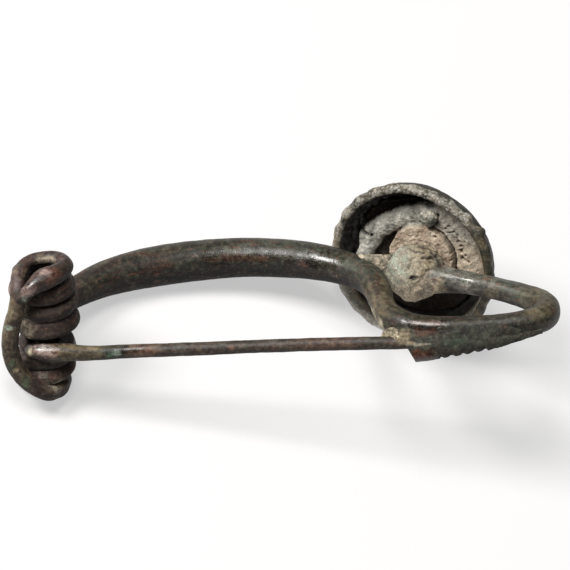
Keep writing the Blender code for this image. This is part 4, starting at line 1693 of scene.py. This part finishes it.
@dataclass
class Bedding:
    """What is left of the paste inside the disc: a core, part of a ridge round it, and a broad side.

    Attributes:
        shape: The disc's sizes and place.
        gap: Clearance from the cup.
        segments: Vertices round the bedding.
        rings: Rings of vertices over its front.
        core: Right, down and radius of the core.
        ledge_depth: Depth below the rim of the ledge round it all.
        ridge_depth: The same of the ridge.
        side_depth: The same of the broad side.
        core_depth: The same of the core.
        ridge: Right and down of points along the ridge's crest.
        ridge_half: Half width of the ridge.
        shelf_deg: Where the raised shelf by the wall begins and ends round the disc.
        shelf_height: Height of the shelf.
        side_deg: Where the broad side begins and ends round the disc.
        nub: Right, down, half width and height of the nub at the ridge's end.
        nub_crust_depth: Depth below the rim of the crumb that stands on the nub.
        pits: Small holes.
        cracks: Short cracks.
    """

    shape: DiscShape
    gap: float = 0.3
    segments: int = 360
    rings: int = 120
    core: Triple = (1.0, -0.6, 5.7)
    ledge_depth: float = 4.3
    ridge_depth: float = 2.6
    side_depth: float = 2.5
    core_depth: float = 1.5
    ridge: Sequence[tuple[float, float]] = (
        (-9.8, 1.9),
        (-9.1, -0.6),
        (-7.8, -2.9),
        (-6.0, -4.6),
        (-4.0, -5.9),
        (-1.6, -7.1),
        (0.6, -8.0),
        (1.7, -8.2),
    )
    ridge_half: float = 2.05
    shelf_deg: tuple[float, float] = (196.0, 236.0)
    shelf_height: float = 0.5
    side_deg: tuple[float, float] = (290.0, 380.0)
    nub: tuple[float, float, float, float] = (2.2, -8.1, 1.3, 0.9)
    nub_crust_depth: float = 1.7
    pits: Sequence[Pit] = (
        Pit(3.0, -7.1, 0.75, 1.3),
        Pit(3.4, -8.3, 0.5, 1.0),
        Pit(3.5, -4.9, 0.3, 0.5),
        Pit(3.7, -2.1, 0.32, 0.6),
        Pit(3.3, -1.4, 0.4, 0.5),
        Pit(6.2, -2.4, 0.26, 0.8),
        Pit(6.2, -1.2, 0.26, 0.8),
        Pit(7.6, -3.6, 0.3, 0.5),
        Pit(7.6, -2.5, 0.28, 0.5),
        Pit(7.8, -1.6, 0.3, 0.5),
    )
    cracks: Sequence[Crack] = (
        Crack((4.9, -6.3), (5.5, -6.9)),
        Crack((5.2, -5.5), (6.4, -6.1)),
        Crack((6.9, -4.3), (8.2, -4.5), 0.18),
        Crack((7.5, -2.9), (8.3, -2.2), 0.2),
        Crack((7.6, -1.3), (8.9, -0.9), 0.18),
        Crack((-10.4, -3.2), (-8.2, -2.5), 0.4, 1.4),
    )

    def forms(self, right: np.ndarray, down: np.ndarray) -> tuple[np.ndarray, np.ndarray, np.ndarray]:
        """Find which form of the bedding there is at each place across the opening.

        Args:
            right: How far right each place is.
            down: How far down.

        Returns:
            Shares of the broad side, of the ridge and of the core.
        """
        turn = np.degrees(np.arctan2(down, right)) % 360
        flat = np.stack([right, down, 0 * right], axis=-1).reshape(-1, 3)
        wander = rough(flat, 2.2, 3, 30.0).reshape(right.shape)
        away = np.hypot(right - self.core[0], down - self.core[1]) + 0.3 * wander
        side = within(turn, *self.side_deg, 12.0) + within(turn + 360.0, *self.side_deg, 12.0)
        side = np.minimum(side, 1.0) * blend(away, self.core[2] + 0.05, self.core[2] + 0.3)
        line = smooth_curve([(*point, 0.0) for point in self.ridge], 0.2)[:, :2]
        apart = np.full(right.shape, 99.0)
        for x, y in line:
            apart = np.minimum(apart, np.hypot(right - x, down - y))
        ridge = 1.0 - np.clip((apart + 0.35 * wander) / self.ridge_half, 0.0, 1.0) ** 2.6
        return side, ridge, 1 - blend(away, self.core[2] - 0.35, self.core[2] + 0.1)

    def relief(self, right: np.ndarray, down: np.ndarray) -> np.ndarray:
        """Work out how deep the bedding's surface lies below the rim.

        Args:
            right: How far right each place is.
            down: How far down.

        Returns:
            Depths in millimetres.
        """
        flat = np.stack([right, down, 0 * right], axis=-1).reshape(-1, 3)
        wander = rough(flat, 2.2, 3, 30.0).reshape(right.shape)
        side, ridge, core = self.forms(right, down)
        turn = np.degrees(np.arctan2(down, right)) % 360
        shelf = within(turn, *self.shelf_deg, 9.0) * blend(np.hypot(right, down) + 0.5 * wander, 8.2, 9.2)
        depth = np.full_like(right, self.ledge_depth) - self.shelf_height * shelf
        depth += (self.side_depth - self.ledge_depth) * side
        rise = (self.ridge_depth - self.ledge_depth) * np.sqrt(np.clip(ridge, 0, 1))
        depth = np.minimum(depth, self.ledge_depth + rise)
        depth += (self.core_depth - depth) * core
        x, y, half, height = self.nub
        depth -= height * (1 - blend(np.hypot(right - x, down - y), 0.5 * half, 1.2 * half))
        for pit in self.pits:
            hollow = np.hypot(right - pit.right, down - pit.down) / pit.half + 0.25 * wander
            depth += pit.depth * (1 - blend(hollow, 0.3, 1.2))
        jitter = rough(flat, 0.7, 2, 35.0).reshape(right.shape)
        for crack in self.cracks:
            start, end = np.array(crack.start), np.array(crack.end)
            line = end - start
            gone = (right - start[0]) * line[0] + (down - start[1]) * line[1]
            along = np.clip(gone / (line @ line), 0.0, 1.0)
            off = np.hypot(right - start[0] - along * line[0], down - start[1] - along * line[1])
            depth += crack.depth * (1 - blend(off + 0.4 * jitter, 0.25 * crack.width, crack.width))
        lumps = 0.2 * rough(flat, 1.3, 3, 31.0) + 0.1 * rough(flat, 0.45, 3, 32.0)
        return depth - lumps.reshape(right.shape)

    def coat(self, places: np.ndarray, right: np.ndarray, down: np.ndarray, depth: np.ndarray) -> Coat:
        """Colour the bedding: grey on the ridge, clay on the core and side, with painted shade where it is
        emptied and lies deep.

        Args:
            places: Its vertices, one a row.
            right: How far right across the opening each is.
            down: How far down.
            depth: How deep below the rim.

        Returns:
            Its colours and traits.
        """
        radius = np.hypot(right, down)
        side, ridge, core = self.forms(right, down)
        mottled = rough(places, 1.6, 3, 33.0)
        # Painted shade on the low ledge: a dark ground, with khaki only where the surface stands up.
        coat = Coat(places, Patina.UMBER)
        coat.lay(Patina.BLACK, 0.4 + mottled)
        standing = 1 - blend(depth, self.ledge_depth - 0.9, self.ledge_depth - 0.5)
        coat.lay(Patina.KHAKI, standing * (0.2 + mottled))
        coat.lay(Patina.CLAY, side)
        coat.lay(Patina.ASH, side * blend(-down, 2.5, 6.0) * 0.7)
        coat.lay(Patina.COPPER, 0.3 * side * blend(radius, 10.2, 11.4))
        coat.lay(Patina.ASH, blend(ridge, 0.15, 0.5))
        coat.lay(Patina.CHALK, blend(ridge, 0.4, 0.9) * (0.35 + 0.8 * mottled))
        coat.lay(Patina.GREY_GREEN, 0.25 * blend(ridge, 0.2, 0.5) - 0.5 * mottled)
        coat.lay(Patina.CLAY, core)
        coat.lay(Patina.ROSE, core * (0.1 + 0.4 * mottled))
        # Painted shade where the bedding lies deep.
        coat.lay(Patina.UMBER, blend(depth, self.ledge_depth - 0.9, self.ledge_depth - 0.1) * 0.6)
        coat.traits[Trait.CRUST] = np.clip(side + ridge + core, 0.0, 1.0)
        return coat

    def nub_crust(self) -> CrustedLump:
        """Describe the crumb of paste that stands on the nub.

        Returns:
            The crumb, yet to be built.
        """
        place = (*self.nub[:2], self.nub_crust_depth)
        return CrustedLump(
            name="bedding_nub",
            centre=tuple(self.shape.place(*(np.array(value) for value in place))),
            half_sizes=(1.4, 1.3, 1.3),
            lumps=0.3,
            rasp=0.12,
            pale=0.2,
            base=Patina.ASH,
            slot=Slot.FILLING,
            node="disc_filling",
        )

    def build(self, finish: bpy.types.Material) -> bpy.types.Object:
        """Make the bedding as one piece.

        Args:
            finish: Its material.

        Returns:
            The piece.
        """
        s = self.shape
        angle = 2 * math.pi * np.arange(self.segments) / self.segments
        edge = s.inner_rim() - 1.0
        first = self.relief(edge * np.cos(angle)[None, :], edge * np.sin(angle)[None, :])[0]
        reach = s.wall_radius(np.clip(first, 0.5, 4.6)) - self.gap
        reach = np.convolve(np.concatenate([reach[-6:], reach, reach[:6]]), np.ones(13) / 13, "valid")
        shares = np.linspace(1.0, 0.02, self.rings)[:, None]
        wide = shares * reach[None, :]
        right, down = wide * np.cos(angle), wide * np.sin(angle)
        depth = self.relief(right, down)
        floor = s.curve(wide + self.gap, s.inner_rim(), s.inner_depth()) - self.gap
        depth = np.minimum(depth, floor - 0.02)
        back_shares = np.array((0.05, 0.2, 0.4, 0.6, 0.75, 0.86, 0.94))[:, None]
        back = back_shares * reach[None, :]
        back_depth = s.curve(back + self.gap, s.inner_rim(), s.inner_depth()) - self.gap
        front = s.place(right, down, depth)
        behind = s.place(back * np.cos(angle), back * np.sin(angle), back_depth)
        places = np.concatenate([behind, front])
        skin = Skin(places, places, places)
        across = np.concatenate([back * np.cos(angle), right]).ravel()
        along = np.concatenate([back * np.sin(angle), down]).ravel()
        depths = np.concatenate([back_depth, depth]).ravel()
        coat = self.coat(skin.flat()[0], across, along, depths)
        return make_piece("disc_bedding", skin, coat, finish, "disc_filling")


# ---------------------------------------------------------------------------------------------------------
# Studio
# ---------------------------------------------------------------------------------------------------------


@dataclass
class Studio:
    """The pale floor, the soft lights and the camera.

    Lights and the floor are placed in metres in the scene, and the camera from the brooch.

    Attributes:
        aim: Where the camera looks, in the brooch's frame.
        view_down_deg: How far the line of sight leans from the brooch's Z axis.
        distance: From the camera to where it looks, in millimetres.
        lens: Focal length in millimetres, on a sensor 36 mm wide.
        floor_size: Side of the floor.
        key_size: Sides of the main light.
        key_place: Where the main light hangs.
        key_power: Its power in watts.
        overhead_size: Sides of the light overhead.
        overhead_place: Where it hangs.
        overhead_power: Its power in watts.
        sky: Strength of the pale room round it.
    """

    aim: Triple = (38.2, 0.0, 14.8)
    view_down_deg: float = 26.74
    distance: float = 4000.0
    lens: float = 1567.0
    floor_size: float = 4.0
    key_size: tuple[float, float] = (0.45, 0.4)
    key_place: Triple = (-1.09, 0.13, 1.1)
    key_power: float = 27.0
    overhead_size: tuple[float, float] = (0.7, 0.4)
    overhead_place: Triple = (-0.475, 0.153, 1.52)
    overhead_power: float = 16.0
    sky: float = 0.12

    def build(self) -> None:
        """Make the floor, the lights, the surroundings and the camera."""
        self.floor()
        self.light("key softbox", self.key_place, self.key_size, self.key_power, "#fffdfb")
        overhead = (self.overhead_place, self.overhead_size, self.overhead_power)
        self.light("overhead softbox", *overhead, "#fffefc")
        self.surroundings()
        self.camera()

    def floor(self) -> None:
        """A plain pale sheet under the brooch."""
        mesh = bpy.data.meshes.new("floor")
        half = self.floor_size / 2
        corners = [(-half, -half, 0), (half, -half, 0), (half, half, 0), (-half, half, 0)]
        mesh.from_pydata(corners, [], [(0, 1, 2, 3)])
        mesh.materials.append(OpalFloor().build())
        floor = bpy.data.objects.new("floor", mesh)
        bpy.context.scene.collection.objects.link(floor)

    def light(self, name: str, place: Triple, size: tuple[float, float], power: float, colour: str) -> None:
        """Hang a soft rectangular light that faces the brooch.

        Args:
            name: The light's name.
            place: Where it hangs, in metres.
            size: Its two sides in metres.
            power: Its power in watts.
            colour: Its colour as sRGB hex.
        """
        data = bpy.data.lights.new(name, "AREA")
        data.shape = "RECTANGLE"
        data.size, data.size_y = size
        data.energy = power
        data.color = to_linear(colour)[:3]
        light = bpy.data.objects.new(name, data)
        light.location = place
        light.rotation_euler = (-Vector(place)).to_track_quat("-Z", "Y").to_euler()
        bpy.context.scene.collection.objects.link(light)

    def surroundings(self) -> None:
        """An even, pale room."""
        world = bpy.data.worlds.new("pale room")
        world.use_nodes = True
        background = world.node_tree.nodes["Background"]
        background.inputs["Color"].default_value = to_linear("#fdfdfc")
        background.inputs["Strength"].default_value = self.sky
        bpy.context.scene.world = world
        bpy.context.scene.view_settings.view_transform = "Standard"

    def camera(self) -> None:
        """A long lens that looks down onto the lying brooch, square to its length."""
        lean = math.radians(self.view_down_deg)
        right = Vector((1.0, 0.0, 0.0))
        up = Vector((0.0, -math.cos(lean), math.sin(lean)))
        back = right.cross(up)
        turn = Matrix((right, up, back)).transposed().to_4x4()
        data = bpy.data.cameras.new("camera")
        data.lens = self.lens
        data.sensor_width = 36.0
        data.clip_start = 0.01
        camera = bpy.data.objects.new("camera", data)
        place = (Vector(self.aim) + back * self.distance) * MM
        camera.matrix_world = LYING @ Matrix.Translation(place) @ turn
        bpy.context.scene.collection.objects.link(camera)
        bpy.context.scene.camera = camera


def main() -> None:
    """Build the studio and every piece of the brooch in order, and report each."""
    logging.basicConfig(level=logging.INFO, format="%(message)s")
    Studio().build()
    bronze = PatinatedBronze().build()
    crusted = CrustedBronze().build()
    bedding = DriedBedding().build()
    WroughtWire().build(bronze)
    FoldedCatch().build(bronze)
    knob = FootKnob("foot_knob", (59.15, -0.2, 18.85), (4.75, 4.65, 3.9), lumps=0.55, rasp=0.07)
    by_catch = CrustedLump(
        "catch_crust", (56.3, 1.35, -0.9), (2.6, 1.3, 1.9), lumps=0.45, rasp=0.2, pale=0.35
    )
    on_turns = CrustedLump(
        "spring_crust", (-0.5, 7.0, -3.6), (1.4, 1.0, 1.2), lumps=0.3, rasp=0.08, pale=-0.5, base=Patina.MAUVE
    )
    by_knob = CrustedLump(
        "knob_crust",
        (53.2, -0.3, 20.3),
        (3.9, 4.2, 2.2),
        lumps=0.3,
        rasp=0.1,
        pale=0.0,
        base=Patina.CLAY,
        flat_above=2.2,
    )
    for lump in (knob, by_catch, on_turns, by_knob):
        lump.build(crusted)
    shape = DiscShape()
    DiscCup(shape).build(crusted)
    paste = Bedding(shape)
    paste.build(bedding)
    paste.nub_crust().build(bedding)


if __name__ == "__main__":
    main()
